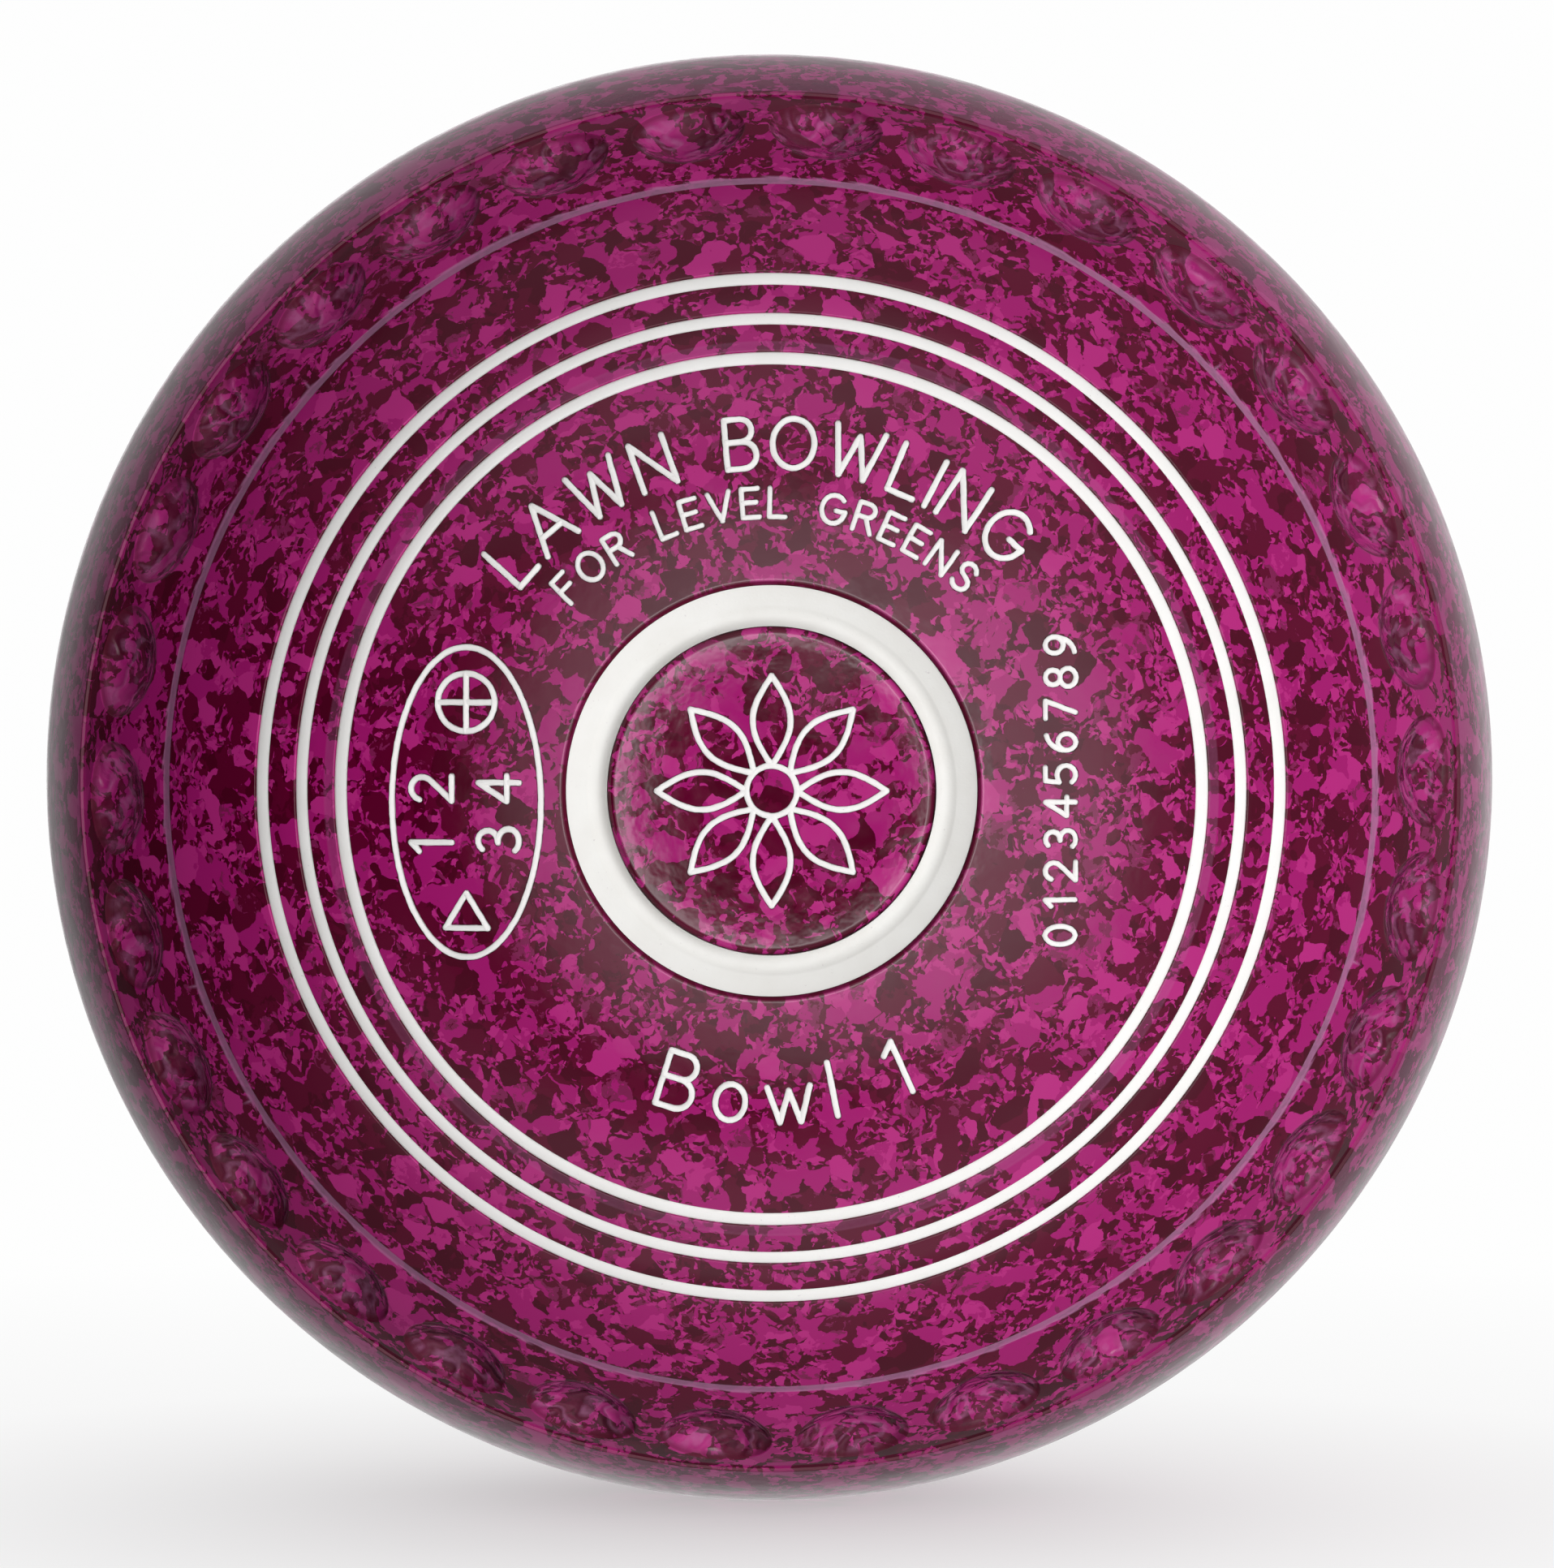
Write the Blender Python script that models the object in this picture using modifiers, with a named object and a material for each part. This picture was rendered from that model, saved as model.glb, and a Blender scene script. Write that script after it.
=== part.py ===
"""A size 1 lawn bowl: one turned resin body, and the hard paint that fills each of its grooves.

Lengths are in metres. Each face is drawn in its own frame, where +Z is the bowl's axis pointing
out of that face, +X is right and +Y is up as one looks at the face, and z = 0 is the plane of
the largest circle, the crown. Two empties then turn those frames so that the bowl stands on its
running surface with its front (large-ring) face towards -Y.

A real bowl is turned from one moulded block, with nothing inside it, so the body is one solid.
Every groove holds its own piece of paint, and each piece is an object of its own.
"""

import math
from collections import namedtuple

import bmesh
import bpy
from mathutils import Matrix, Vector
from mathutils.geometry import delaunay_2d_cdt

MM = 0.001

# The body's overall shape: half of a superellipse on each side of the crown.
BOWL_RADIUS = 58.5 * MM
FRONT_RISE = 50.3 * MM
BACK_RISE = 51.8 * MM  # the bias side is the fuller one, which is what makes a bowl curve
ROUNDNESS = 2.2  # exponent of the superellipse: 2 is an ellipse
TURNED_STEPS = 48

# What each face carries, from its centre outwards.
DISC_BELOW_LIP = 0.3 * MM
DISC_EDGE_DROP = 0.25 * MM
WIDE_GROOVE_DEPTH = 1.5 * MM
THIN_GROOVE_DEPTH = 0.5 * MM
THIN_RINGS = ((32.05 * MM, 33.1 * MM), (35.2 * MM, 36.2 * MM), (38.3 * MM, 39.35 * MM))
LETTER_FIELD_EDGE = 33.75 * MM
LETTER_FIELD_STEP = 0.12 * MM
GRIP_BAND = (47.0 * MM, 54.1 * MM)
GRIP_BAND_DEPTHS = (0.45 * MM, 0.25 * MM)
GRIP_CHAMFER = 0.8 * MM
FIELD_SEGMENTS = 2
LAND_SEGMENTS = 2
RUNNING_SEGMENTS = 3

# The scoops in the grip band: each is cut by a squashed, tapered ball.
DIMPLES = 30
FIRST_DIMPLE_ANGLE = math.radians(85.2)
DIMPLE_RADIUS_FROM_AXIS = 51.2 * MM
DIMPLE_BALL = Vector((7.0 * MM, 7.5 * MM, 3.6 * MM))
DIMPLE_BALL_HEIGHT = 2.0 * MM
DIMPLE_TAPER = 0.2

# Paint sits a little below the lip of its groove, clear of the groove's walls and floor.
PAINT_BELOW_SURFACE = 0.1 * MM
PAINT_CLEARANCE = 0.05 * MM
WIDE_PAINT_DEPTHS = (0.75 * MM, 0.95 * MM, 0.35 * MM)
ENGRAVED_DEPTH = 0.45 * MM
STROKE_WIDTH = 0.5 * MM
CUTTER_OVERSHOOT = 0.6 * MM

# Lettering. Radii are of the baseline, and angles run clockwise from the top of the face.
TITLE = ("LAWN BOWLING", 24.2 * MM, 3.75 * MM, -51, 46.5)
SIZE_MARK = ("Bowl", 25.0 * MM, 4.2 * MM, 200.5, 168.5)
SIZE_DIGIT = ("1", 25.0 * MM, 4.2 * MM, 157.0, 153.0)
SERIAL = "0123456789"
SERIAL_BASELINE = 22.8 * MM
SERIAL_HEIGHT = 2.3 * MM
SERIAL_SPAN = 24.2 * MM
STAMP_CENTRE = Vector((-22.9 * MM, -0.9 * MM))
STAMP_HALF_SIZE = Vector((5.65 * MM, 11.65 * MM))
STAMP_TEXT_HEIGHT = 3.1 * MM
STAMP_DIGITS = (("1", -1.1, -3.7), ("2", -1.1, 0.1), ("3", 4.0, -3.7), ("4", 4.0, 0.1))
EMBLEM_PETALS = 8
EMBLEM_HUB_SHARE = 0.22
EMBLEM_PETAL_BULGE = 0.165  # half a petal's width, as a share of the emblem's radius

DEGREES_PER_ARC_STEP = 50
DEGREES_PER_OVAL_STEP = 18
PETAL_STEPS = 3
SHARPEST_MITRE = 0.6  # cosine of half the turn at the sharpest corner that is mitred
STROKE_OVERRUN = 0.5  # of the half width, past each end of a stroke
SAME_POINT = 0.0001 * MM
SHARP_ANGLE = math.radians(30)

Face = namedtuple("Face", "name rise wide_ring emblem_radius")
FRONT = Face("front", FRONT_RISE, (12.3 * MM, 15.4 * MM), 8.6 * MM)
BACK = Face("back", BACK_RISE, (9.3 * MM, 12.4 * MM), 6.3 * MM)

Material = namedtuple("Material", "name colour roughness")
RESIN = Material("speckled_resin", (0.26, 0.012, 0.13, 1), 0.12)
PAINT = Material("white_groove_paint", (0.85, 0.84, 0.82, 1), 0.45)


# ---------------------------------------------------------------- the turned surface


def dome_height(face, radius):
    """How far the plain dome stands over the crown plane at this distance from the axis."""
    share = min(radius / BOWL_RADIUS, 1)
    return face.rise * (1 - share**ROUNDNESS) ** (1 / ROUNDNESS)


def dome_normal(face, radius):
    """The dome's outward normal in its half-plane, as (radial, axial)."""
    height = dome_height(face, radius)
    radial = radius ** (ROUNDNESS - 1) / BOWL_RADIUS**ROUNDNESS
    axial = height ** (ROUNDNESS - 1) / face.rise**ROUNDNESS
    return Vector((radial, axial)).normalized()


def on_dome(face, radius, depth=0.0):
    """The point at this depth under the dome, in its half-plane, as (radius, height)."""
    surface = Vector((radius, dome_height(face, radius)))
    return surface - depth * dome_normal(face, radius)


def dome_run(face, start, end, segments, start_depth=0.0, end_depth=0.0):
    """Evenly spaced points along the dome, without its last one."""
    points = []
    for step in range(segments):
        share = step / segments
        depth = start_depth + share * (end_depth - start_depth)
        points.append(on_dome(face, start + share * (end - start), depth))
    return points


def lip_height(face):
    return dome_height(face, face.wide_ring[1])


def disc_height(face):
    return lip_height(face) - DISC_BELOW_LIP


def thin_ring_depth(ring):
    """How far under the dome the ground beside a thin ring lies."""
    return 0.0 if ring == THIN_RINGS[0] else LETTER_FIELD_STEP


def centre_profile(face):
    """From the axis over the flat disc and through the wide groove to its lip."""
    inner, outer = face.wide_ring
    disc = disc_height(face)
    floor = lip_height(face) - WIDE_GROOVE_DEPTH
    return [
        Vector((0, disc)),
        Vector((inner - DISC_EDGE_DROP, disc)),
        Vector((inner, disc - DISC_EDGE_DROP)),
        Vector((inner, floor)),
        Vector((outer, floor)),
    ]


def ring_field_profile(face):
    """From the wide groove's lip over the lettering field and the thin grooves."""
    points = dome_run(face, face.wide_ring[1], THIN_RINGS[0][0], FIELD_SEGMENTS)
    for ring in THIN_RINGS:
        inner, outer = ring
        ground = thin_ring_depth(ring)
        floor = ground + THIN_GROOVE_DEPTH
        points += [on_dome(face, inner, ground), on_dome(face, inner, floor)]
        points += [on_dome(face, outer, floor), on_dome(face, outer, ground)]
        if ring == THIN_RINGS[0]:
            points.append(on_dome(face, LETTER_FIELD_EDGE, LETTER_FIELD_STEP))
    return points


def shoulder_profile(face):
    """From the outer thin ring over the recessed grip band to just short of the crown."""
    band_start, band_end = GRIP_BAND
    land_start = THIN_RINGS[-1][1]
    step = LETTER_FIELD_STEP
    points = dome_run(face, land_start, band_start - GRIP_CHAMFER, LAND_SEGMENTS, step, step)[1:]
    points.append(on_dome(face, band_start - GRIP_CHAMFER, step))
    points += dome_run(face, band_start, band_end, LAND_SEGMENTS, *GRIP_BAND_DEPTHS)
    points.append(on_dome(face, band_end, GRIP_BAND_DEPTHS[1]))
    return points + running_profile(face, band_end)


def running_profile(face, start):
    """The running surface, spaced evenly round its curve rather than along its radius."""
    exponent = 2 / ROUNDNESS
    first = math.asin((start / BOWL_RADIUS) ** (1 / exponent))
    points = []
    for step in range(RUNNING_SEGMENTS):
        turn = first + (math.pi / 2 - first) * step / RUNNING_SEGMENTS
        radius = BOWL_RADIUS * math.sin(turn) ** exponent
        points.append(Vector((radius, face.rise * math.cos(turn) ** exponent)))
    return points


def half_profile(face):
    return centre_profile(face) + ring_field_profile(face) + shoulder_profile(face)


def body_profile():
    """The whole turned outline, from the middle of the front face to that of the back."""
    back = [Vector((point.x, -point.y)) for point in reversed(half_profile(BACK))]
    return half_profile(FRONT) + [Vector((BOWL_RADIUS, 0))] + back


# ---------------------------------------------------------------- scene helpers


def clear_scene():
    for obj in list(bpy.data.objects):
        bpy.data.objects.remove(obj)


def new_collection(name):
    collection = bpy.data.collections.new(name)
    bpy.context.scene.collection.children.link(collection)
    return collection


def new_material(look):
    material = bpy.data.materials.new(look.name)
    material.use_nodes = True
    shader = material.node_tree.nodes["Principled BSDF"]
    shader.inputs["Base Color"].default_value = look.colour
    shader.inputs["Roughness"].default_value = look.roughness
    shader.inputs["Metallic"].default_value = 0.0
    material.diffuse_color = look.colour
    return material


def new_empty(name, parent, location, rotation):
    empty = bpy.data.objects.new(name, None)
    empty.parent = parent
    empty.location = location
    empty.rotation_euler = rotation
    bpy.context.scene.collection.objects.link(empty)
    return empty


def new_object(name, mesh, parent, collection, material=None):
    obj = bpy.data.objects.new(name, mesh)
    obj.parent = parent
    collection.objects.link(obj)
    if material:
        mesh.materials.append(material)
    return obj


def hide_cutter(obj):
    obj.hide_render = True
    obj.display_type = "WIRE"
    return obj


def shade(mesh):
    """Smooth shading that keeps edges of more than 30 degrees sharp."""
    mesh.shade_smooth()
    mesh.set_sharp_from_angle(angle=SHARP_ANGLE)


def apply_modifiers(obj):
    """Leaves the object with the mesh that its modifiers make, shaded."""
    graph = bpy.context.evaluated_depsgraph_get()
    mesh = bpy.data.meshes.new_from_object(obj.evaluated_get(graph))
    obj.modifiers.clear()
    obj.data = mesh
    shade(mesh)


def turned_object(name, profile, closed, parent, collection, material):
    """A profile of (radius, height) points turned once round the frame's Z axis."""
    count = len(profile)
    edges = [(i, (i + 1) % count) for i in range(count if closed else count - 1)]
    mesh = bpy.data.meshes.new(name)
    mesh.from_pydata([(point.x, 0, point.y) for point in profile], edges, [])
    obj = new_object(name, mesh, parent, collection, material)
    screw = obj.modifiers.new("turning", "SCREW")
    screw.steps = TURNED_STEPS
    screw.render_steps = TURNED_STEPS
    screw.use_merge_vertices = True
    screw.merge_threshold = 0.00001
    return obj


# ---------------------------------------------------------------- the dimples


def dimple_ball_mesh():
    """A ball squashed to the scoop's size and widened towards +X, its outer end."""
    shape = bmesh.new()
    bmesh.ops.create_uvsphere(shape, u_segments=8, v_segments=6, radius=1)
    for vertex in shape.verts:
        vertex.co.y *= 1 + DIMPLE_TAPER * vertex.co.x
    bmesh.ops.scale(shape, vec=DIMPLE_BALL, verts=shape.verts)
    mesh = bpy.data.meshes.new("dimple_ball")
    shape.to_mesh(mesh)
    shape.free()
    return mesh


def dimple_placement(face, angle):
    """Where one ball goes: its +Z along the dome's normal, its +X down the shoulder."""
    radial, axial = dome_normal(face, DIMPLE_RADIUS_FROM_AXIS)
    outwards = Vector((math.cos(angle), math.sin(angle), 0))
    normal = radial * outwards + Vector((0, 0, axial))
    down_the_shoulder = axial * outwards - Vector((0, 0, radial))
    sideways = normal.cross(down_the_shoulder)
    radius, height = on_dome(face, DIMPLE_RADIUS_FROM_AXIS, -DIMPLE_BALL_HEIGHT)
    placement = Matrix((down_the_shoulder, sideways, normal)).transposed().to_4x4()
    placement.translation = radius * outwards + Vector((0, 0, height))
    return placement


def add_dimple_cutters(face, ball, frame, cutters):
    for index in range(DIMPLES):
        angle = FIRST_DIMPLE_ANGLE + math.tau * index / DIMPLES
        cutter = new_object(f"{face.name}_dimple_cutter_{index + 1}", ball, frame, cutters)
        cutter.matrix_local = dimple_placement(face, angle)
        hide_cutter(cutter)


# ---------------------------------------------------------------- a single-stroke alphabet


def arc(x, y, x_radius, y_radius, start, end, step_size=DEGREES_PER_ARC_STEP):
    """Points on part of an ellipse, its angles in degrees anticlockwise from +X."""
    steps = max(1, round(abs(end - start) / step_size))
    angles = [math.radians(start + (end - start) * i / steps) for i in range(steps + 1)]
    return [(x + x_radius * math.cos(a), y + y_radius * math.sin(a)) for a in angles]


def loop(x, y, x_radius, y_radius, step_size=DEGREES_PER_ARC_STEP):
    """A whole ellipse, whose last point is its first, which marks a closed stroke."""
    points = arc(x, y, x_radius, y_radius, 90, 450, step_size)
    return points[:-1] + points[:1]


def half_turned(strokes, width):
    return [[(width - x, 1 - y) for x, y in stroke] for stroke in strokes]


UPPER_BOWL_OF_B = [(0, 0), (0, 1), (0.3, 1), *arc(0.32, 0.77, 0.22, 0.23, 60, -60), (0.3, 0.54), (0, 0.54)]
LOWER_BOWL_OF_B = [(0.28, 0.54), *arc(0.34, 0.27, 0.26, 0.27, 70, -70), (0.3, 0), (0, 0)]
SIX = [loop(0.3, 0.3, 0.27, 0.3), arc(0.62, 0.36, 0.585, 0.62, 100, 175)]

# Each character is its width and its strokes, on a capital height of 1.
ALPHABET = {
    " ": (0.5, []),
    "A": (0.8, [[(0, 0), (0.4, 1), (0.8, 0)], [(0.15, 0.35), (0.65, 0.35)]]),
    "B": (0.6, [UPPER_BOWL_OF_B, LOWER_BOWL_OF_B]),
    "G": (0.84, [[*arc(0.42, 0.5, 0.42, 0.5, 45, 330), (0.84, 0.46), (0.5, 0.46)]]),
    "I": (0.0, [[(0, 0), (0, 1)]]),
    "L": (0.55, [[(0, 1), (0, 0), (0.55, 0)]]),
    "N": (0.7, [[(0, 0), (0, 1), (0.7, 0), (0.7, 1)]]),
    "O": (0.84, [loop(0.42, 0.5, 0.42, 0.5)]),
    "W": (1.0, [[(0, 1), (0.25, 0), (0.5, 0.85), (0.75, 0), (1, 1)]]),
    "o": (0.54, [loop(0.27, 0.33, 0.27, 0.33)]),
    "w": (0.76, [[(0, 0.66), (0.19, 0), (0.38, 0.58), (0.57, 0), (0.76, 0.66)]]),
    "l": (0.0, [[(0, 0), (0, 1)]]),
    "0": (0.6, [loop(0.3, 0.5, 0.3, 0.5)]),
    "1": (0.22, [[(0, 0.8), (0.22, 1), (0.22, 0)]]),
    "2": (0.6, [[*arc(0.3, 0.72, 0.28, 0.28, 165, -35), (0, 0), (0.6, 0)]]),
    "3": (0.56, [arc(0.27, 0.76, 0.25, 0.24, 145, -95), arc(0.27, 0.26, 0.29, 0.26, 100, -145)]),
    "4": (0.6, [[(0.45, 0), (0.45, 1), (0, 0.3), (0.62, 0.3)]]),
    "5": (0.58, [[(0.52, 1), (0.08, 1), (0.03, 0.54), *arc(0.28, 0.31, 0.3, 0.31, 105, -145)]]),
    "6": (0.6, SIX),
    "7": (0.58, [[(0, 1), (0.58, 1), (0.2, 0)]]),
    "8": (0.6, [loop(0.3, 0.75, 0.24, 0.25), loop(0.3, 0.25, 0.3, 0.27)]),
    "9": (0.6, half_turned(SIX, 0.6)),
}


def placed(strokes, size, origin, turn):
    """Strokes scaled to this size, turned anticlockwise by this angle, and moved to origin."""
    spin = Matrix.Rotation(turn, 2)
    return [[origin + spin @ (size * Vector(point)) for point in stroke] for stroke in strokes]


# The stamp's two plain marks, on a height of 1 about their own middles: name, strokes, and how
# far up the oval they lie in millimetres.
STAMP_MARKS = (
    ("circle_mark", [loop(0, 0, 0.7, 0.7), [(-0.7, 0), (0.7, 0)], [(0, -0.7), (0, 0.7)]], 7.5),
    ("triangle_mark", [[(0, 0.45), (-0.52, -0.4), (0.52, -0.4), (0, 0.45)]], -8.2),
)

# A piece of lettering is its name and the strokes that draw it, in the face's plane.
Engraving = namedtuple("Engraving", "name strokes width")


def arc_lettering(line, prefix):
    """Lettering on an arc about the face's centre, its ends at the two angles given.

    Angles that fall make the text run anticlockwise, upright along the foot of the face.
    """
    text, baseline, height, start, end = line
    under = end < start
    widths = [ALPHABET[char][0] for char in text]
    arc_length = abs(math.radians(end - start)) * baseline
    gaps = max(1, len(text) - 1)
    gap = (arc_length - height * sum(widths)) / gaps
    travelled = 0.0
    made = []
    for index, (char, width) in enumerate(zip(text, widths)):
        middle = travelled + width * height / 2
        travelled += width * height + gap
        if char == " ":
            continue
        turn = math.radians(start) + math.copysign(middle / baseline, end - start)
        upright = math.pi - turn if under else -turn
        foot = baseline * Vector((math.sin(turn), math.cos(turn)))
        origin = foot - Matrix.Rotation(upright, 2) @ Vector((width * height / 2, 0))
        strokes = placed(ALPHABET[char][1], height, origin, upright)
        made.append(Engraving(f"{prefix}_{index + 1:02d}_{char}", strokes, STROKE_WIDTH))
    return made


def serial_lettering():
    """A straight row at the right of the face, read from the bottom up."""
    pitch = SERIAL_SPAN / len(SERIAL)
    made = []
    for index, char in enumerate(SERIAL):
        width, strokes = ALPHABET[char]
        middle = (index + 0.5) * pitch - SERIAL_SPAN / 2
        origin = Vector((SERIAL_BASELINE, middle - width * SERIAL_HEIGHT / 2))
        drawn = placed(strokes, SERIAL_HEIGHT, origin, math.pi / 2)
        made.append(Engraving(f"serial_digit_{char}", drawn, STROKE_WIDTH * 0.85))
    return made


def stamp_lettering():
    """An upright oval round two rows of digits, read from the bottom up, and two plain marks."""
    oval = loop(0, 0, *STAMP_HALF_SIZE, DEGREES_PER_OVAL_STEP)
    made = [Engraving("stamp_oval", placed([oval], 1, STAMP_CENTRE, 0), STROKE_WIDTH)]
    for char, right, up in STAMP_DIGITS:
        origin = STAMP_CENTRE + Vector((right, up)) * MM
        drawn = placed(ALPHABET[char][1], STAMP_TEXT_HEIGHT, origin, math.pi / 2)
        made.append(Engraving(f"stamp_digit_{char}", drawn, STROKE_WIDTH))
    for name, strokes, up in STAMP_MARKS:
        drawn = placed(strokes, STAMP_TEXT_HEIGHT, STAMP_CENTRE + Vector((0, up * MM)), 0)
        made.append(Engraving(f"stamp_{name}", drawn, STROKE_WIDTH))
    return made


def petal_side(bearing, hub, reach, bulge):
    """A bowed line from the hub to a petal's tip, at this bearing in radians."""
    spin = Matrix.Rotation(bearing, 2)
    points = []
    for step in range(PETAL_STEPS + 1):
        share = step / PETAL_STEPS
        along = hub + share * (reach - hub)
        points.append(spin @ Vector((along, bulge * math.sin(math.pi * share))))
    return points


def emblem(face):
    """A plain flower: pointed petals round a small hub ring."""
    reach = face.emblem_radius
    hub = EMBLEM_HUB_SHARE * reach
    bulge = EMBLEM_PETAL_BULGE * reach
    strokes = placed([loop(0, 0, hub, hub)], 1, Vector((0, 0)), 0)
    for petal in range(EMBLEM_PETALS):
        bearing = math.tau * petal / EMBLEM_PETALS
        strokes.append(petal_side(bearing, hub, reach, bulge))
        strokes.append(petal_side(bearing, hub, reach, -bulge))
    return Engraving(f"{face.name}_emblem_flower", strokes, STROKE_WIDTH)


def front_engravings():
    title = arc_lettering(TITLE, "title_letter")
    size = arc_lettering(SIZE_MARK, "size_letter") + arc_lettering(SIZE_DIGIT, "size_digit")
    return title + size + serial_lettering() + stamp_lettering() + [emblem(FRONT)]


# ---------------------------------------------------------------- engraved strokes as solids


def span_directions(points, closed):
    """The direction of each span of a stroke, with one more for the span that closes it."""
    following = points[1:] + points[:1] if closed else points[1:]
    return [(b - a).normalized() for a, b in zip(points, following)]


def is_sharp(before, after):
    """Whether the turn between two spans is too sharp to be mitred."""
    return math.sqrt((1 + before.dot(after)) / 2) < SHARPEST_MITRE


def stroke_runs(stroke):
    """A stroke as (points, closed) runs, cut at its sharp corners."""
    points = list(stroke)
    directions = span_directions(points, False)
    if points[0] == points[-1] and not is_sharp(directions[-1], directions[0]):
        return [(points[:-1], True)]
    runs = [[points[0]]]
    for index in range(1, len(points) - 1):
        runs[-1].append(points[index])
        if is_sharp(directions[index - 1], directions[index]):
            runs.append([points[index]])
    runs[-1].append(points[-1])
    return [(run, False) for run in runs]


def run_quads(points, closed, half_width):
    """The quads that cover one run of a stroke, mitred at its corners."""
    directions = span_directions(points, closed)
    if not closed:
        overrun = STROKE_OVERRUN * half_width
        points = [points[0] - overrun * directions[0], *points[1:]]
        points = [*points[:-1], points[-1] + overrun * directions[-1]]
    edges = []
    for index, point in enumerate(points):
        arriving = directions[index - 1] if closed or index else directions[0]
        leaving = directions[index] if index < len(directions) else directions[-1]
        mitre = (arriving + leaving).normalized()
        reach = half_width / mitre.dot(leaving)
        left = reach * Vector((-mitre.y, mitre.x))
        edges.append((point + left, point - left))
    following = edges[1:] + edges[:1] if closed else edges[1:]
    return [(b[1], d[1], d[0], b[0]) for b, d in zip(edges, following)]


def merged_outline(strokes, half_width):
    """All of a mark's strokes as one flat region of triangles, with no overlaps."""
    runs = [run for stroke in strokes for run in stroke_runs(stroke)]
    quads = [quad for points, closed in runs for quad in run_quads(points, closed, half_width)]
    corners = [corner for quad in quads for corner in quad]
    faces = [range(start, start + 4) for start in range(0, len(corners), 4)]
    made = delaunay_2d_cdt(corners, [], faces, 1, SAME_POINT)
    points, triangles, sources = made[0], made[2], made[5]
    return points, [face for face, source in zip(triangles, sources) if source]


def face_height(face, point):
    """The height of the flat disc, or of the dome outside it, at a point of the face's plane."""
    radius = point.length
    return disc_height(face) if radius < face.wide_ring[0] else dome_height(face, radius)


def engraved_object(face, mark, growth, depths, frame, collection, material=None):
    """A slab along the mark's strokes, between two depths under the face."""
    points, triangles = merged_outline(mark.strokes, mark.width / 2 + growth)
    shape = bmesh.new()
    flat = [shape.verts.new((*point, 0)) for point in points]
    for triangle in triangles:
        shape.faces.new([flat[index] for index in triangle])
    made = bmesh.ops.extrude_face_region(shape, geom=shape.faces[:])
    lower = {item for item in made["geom"] if isinstance(item, bmesh.types.BMVert)}
    for vertex in shape.verts:
        depth = depths[1] if vertex in lower else depths[0]
        vertex.co.z = face_height(face, vertex.co.xy) - depth
    loose = [vertex for vertex in shape.verts if not vertex.link_faces]
    bmesh.ops.delete(shape, geom=loose, context="VERTS")
    bmesh.ops.recalc_face_normals(shape, faces=shape.faces)
    middle = sum((vertex.co for vertex in shape.verts), Vector()) / len(shape.verts)
    bmesh.ops.translate(shape, vec=-middle, verts=shape.verts)
    mesh = bpy.data.meshes.new(mark.name)
    shape.to_mesh(mesh)
    shape.free()
    shade(mesh)
    obj = new_object(mark.name, mesh, frame, collection, material)
    obj.location = middle
    return obj


def add_engraving(face, mark, frame, parts, cutters, paint):
    """The mark's paint, and the cutter of the groove that the paint lies in."""
    paint_depths = (PAINT_BELOW_SURFACE, ENGRAVED_DEPTH - PAINT_CLEARANCE)
    engraved_object(face, mark, -PAINT_CLEARANCE, paint_depths, frame, parts, paint)
    groove = mark._replace(name=mark.name + "_cutter")
    depths = (-CUTTER_OVERSHOOT, ENGRAVED_DEPTH)
    hide_cutter(engraved_object(face, groove, 0, depths, frame, cutters))


# ---------------------------------------------------------------- turned paint rings


def add_thin_paint_rings(face, frame, parts, paint):
    names = ("inner", "middle", "outer")
    for name, ring in zip(names, THIN_RINGS):
        inner, outer = ring[0] + PAINT_CLEARANCE, ring[1] - PAINT_CLEARANCE
        top = thin_ring_depth(ring) + PAINT_BELOW_SURFACE
        bottom = thin_ring_depth(ring) + THIN_GROOVE_DEPTH - PAINT_CLEARANCE
        corners = ((inner, top), (outer, top), (outer, bottom), (inner, bottom))
        profile = [on_dome(face, radius, depth) for radius, depth in corners]
        apply_modifiers(
            turned_object(f"{face.name}_thin_ring_{name}", profile, True, frame, parts, paint)
        )


def add_wide_paint_ring(face, frame, parts, paint):
    """A dished ring: highest at its outer edge, lowest a third of the way out."""
    inner, outer = face.wide_ring[0] + PAINT_CLEARANCE, face.wide_ring[1] - PAINT_CLEARANCE
    lip = lip_height(face)
    at_inner, at_lowest, at_outer = (lip - depth for depth in WIDE_PAINT_DEPTHS)
    floor = lip - WIDE_GROOVE_DEPTH + PAINT_CLEARANCE
    lowest = inner + (outer - inner) / 3
    dish = ((inner, at_inner), (lowest, at_lowest), (outer, at_outer))
    profile = [Vector(corner) for corner in (*dish, (outer, floor), (inner, floor))]
    apply_modifiers(turned_object(f"{face.name}_wide_ring", profile, True, frame, parts, paint))


# ---------------------------------------------------------------- the bowl


def crown_offset():
    """How far the crown lies behind the middle of the bowl's width, so that it is centred."""
    return (lip_height(BACK) - lip_height(FRONT)) / 2


def add_body(frame, parts, cutters, resin):
    body = turned_object("bowl_body", body_profile(), False, frame, parts, resin)
    cut = body.modifiers.new("dimples and engraving", "BOOLEAN")
    cut.operation = "DIFFERENCE"
    cut.solver = "EXACT"
    cut.operand_type = "COLLECTION"
    cut.collection = cutters
    apply_modifiers(body)


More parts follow.
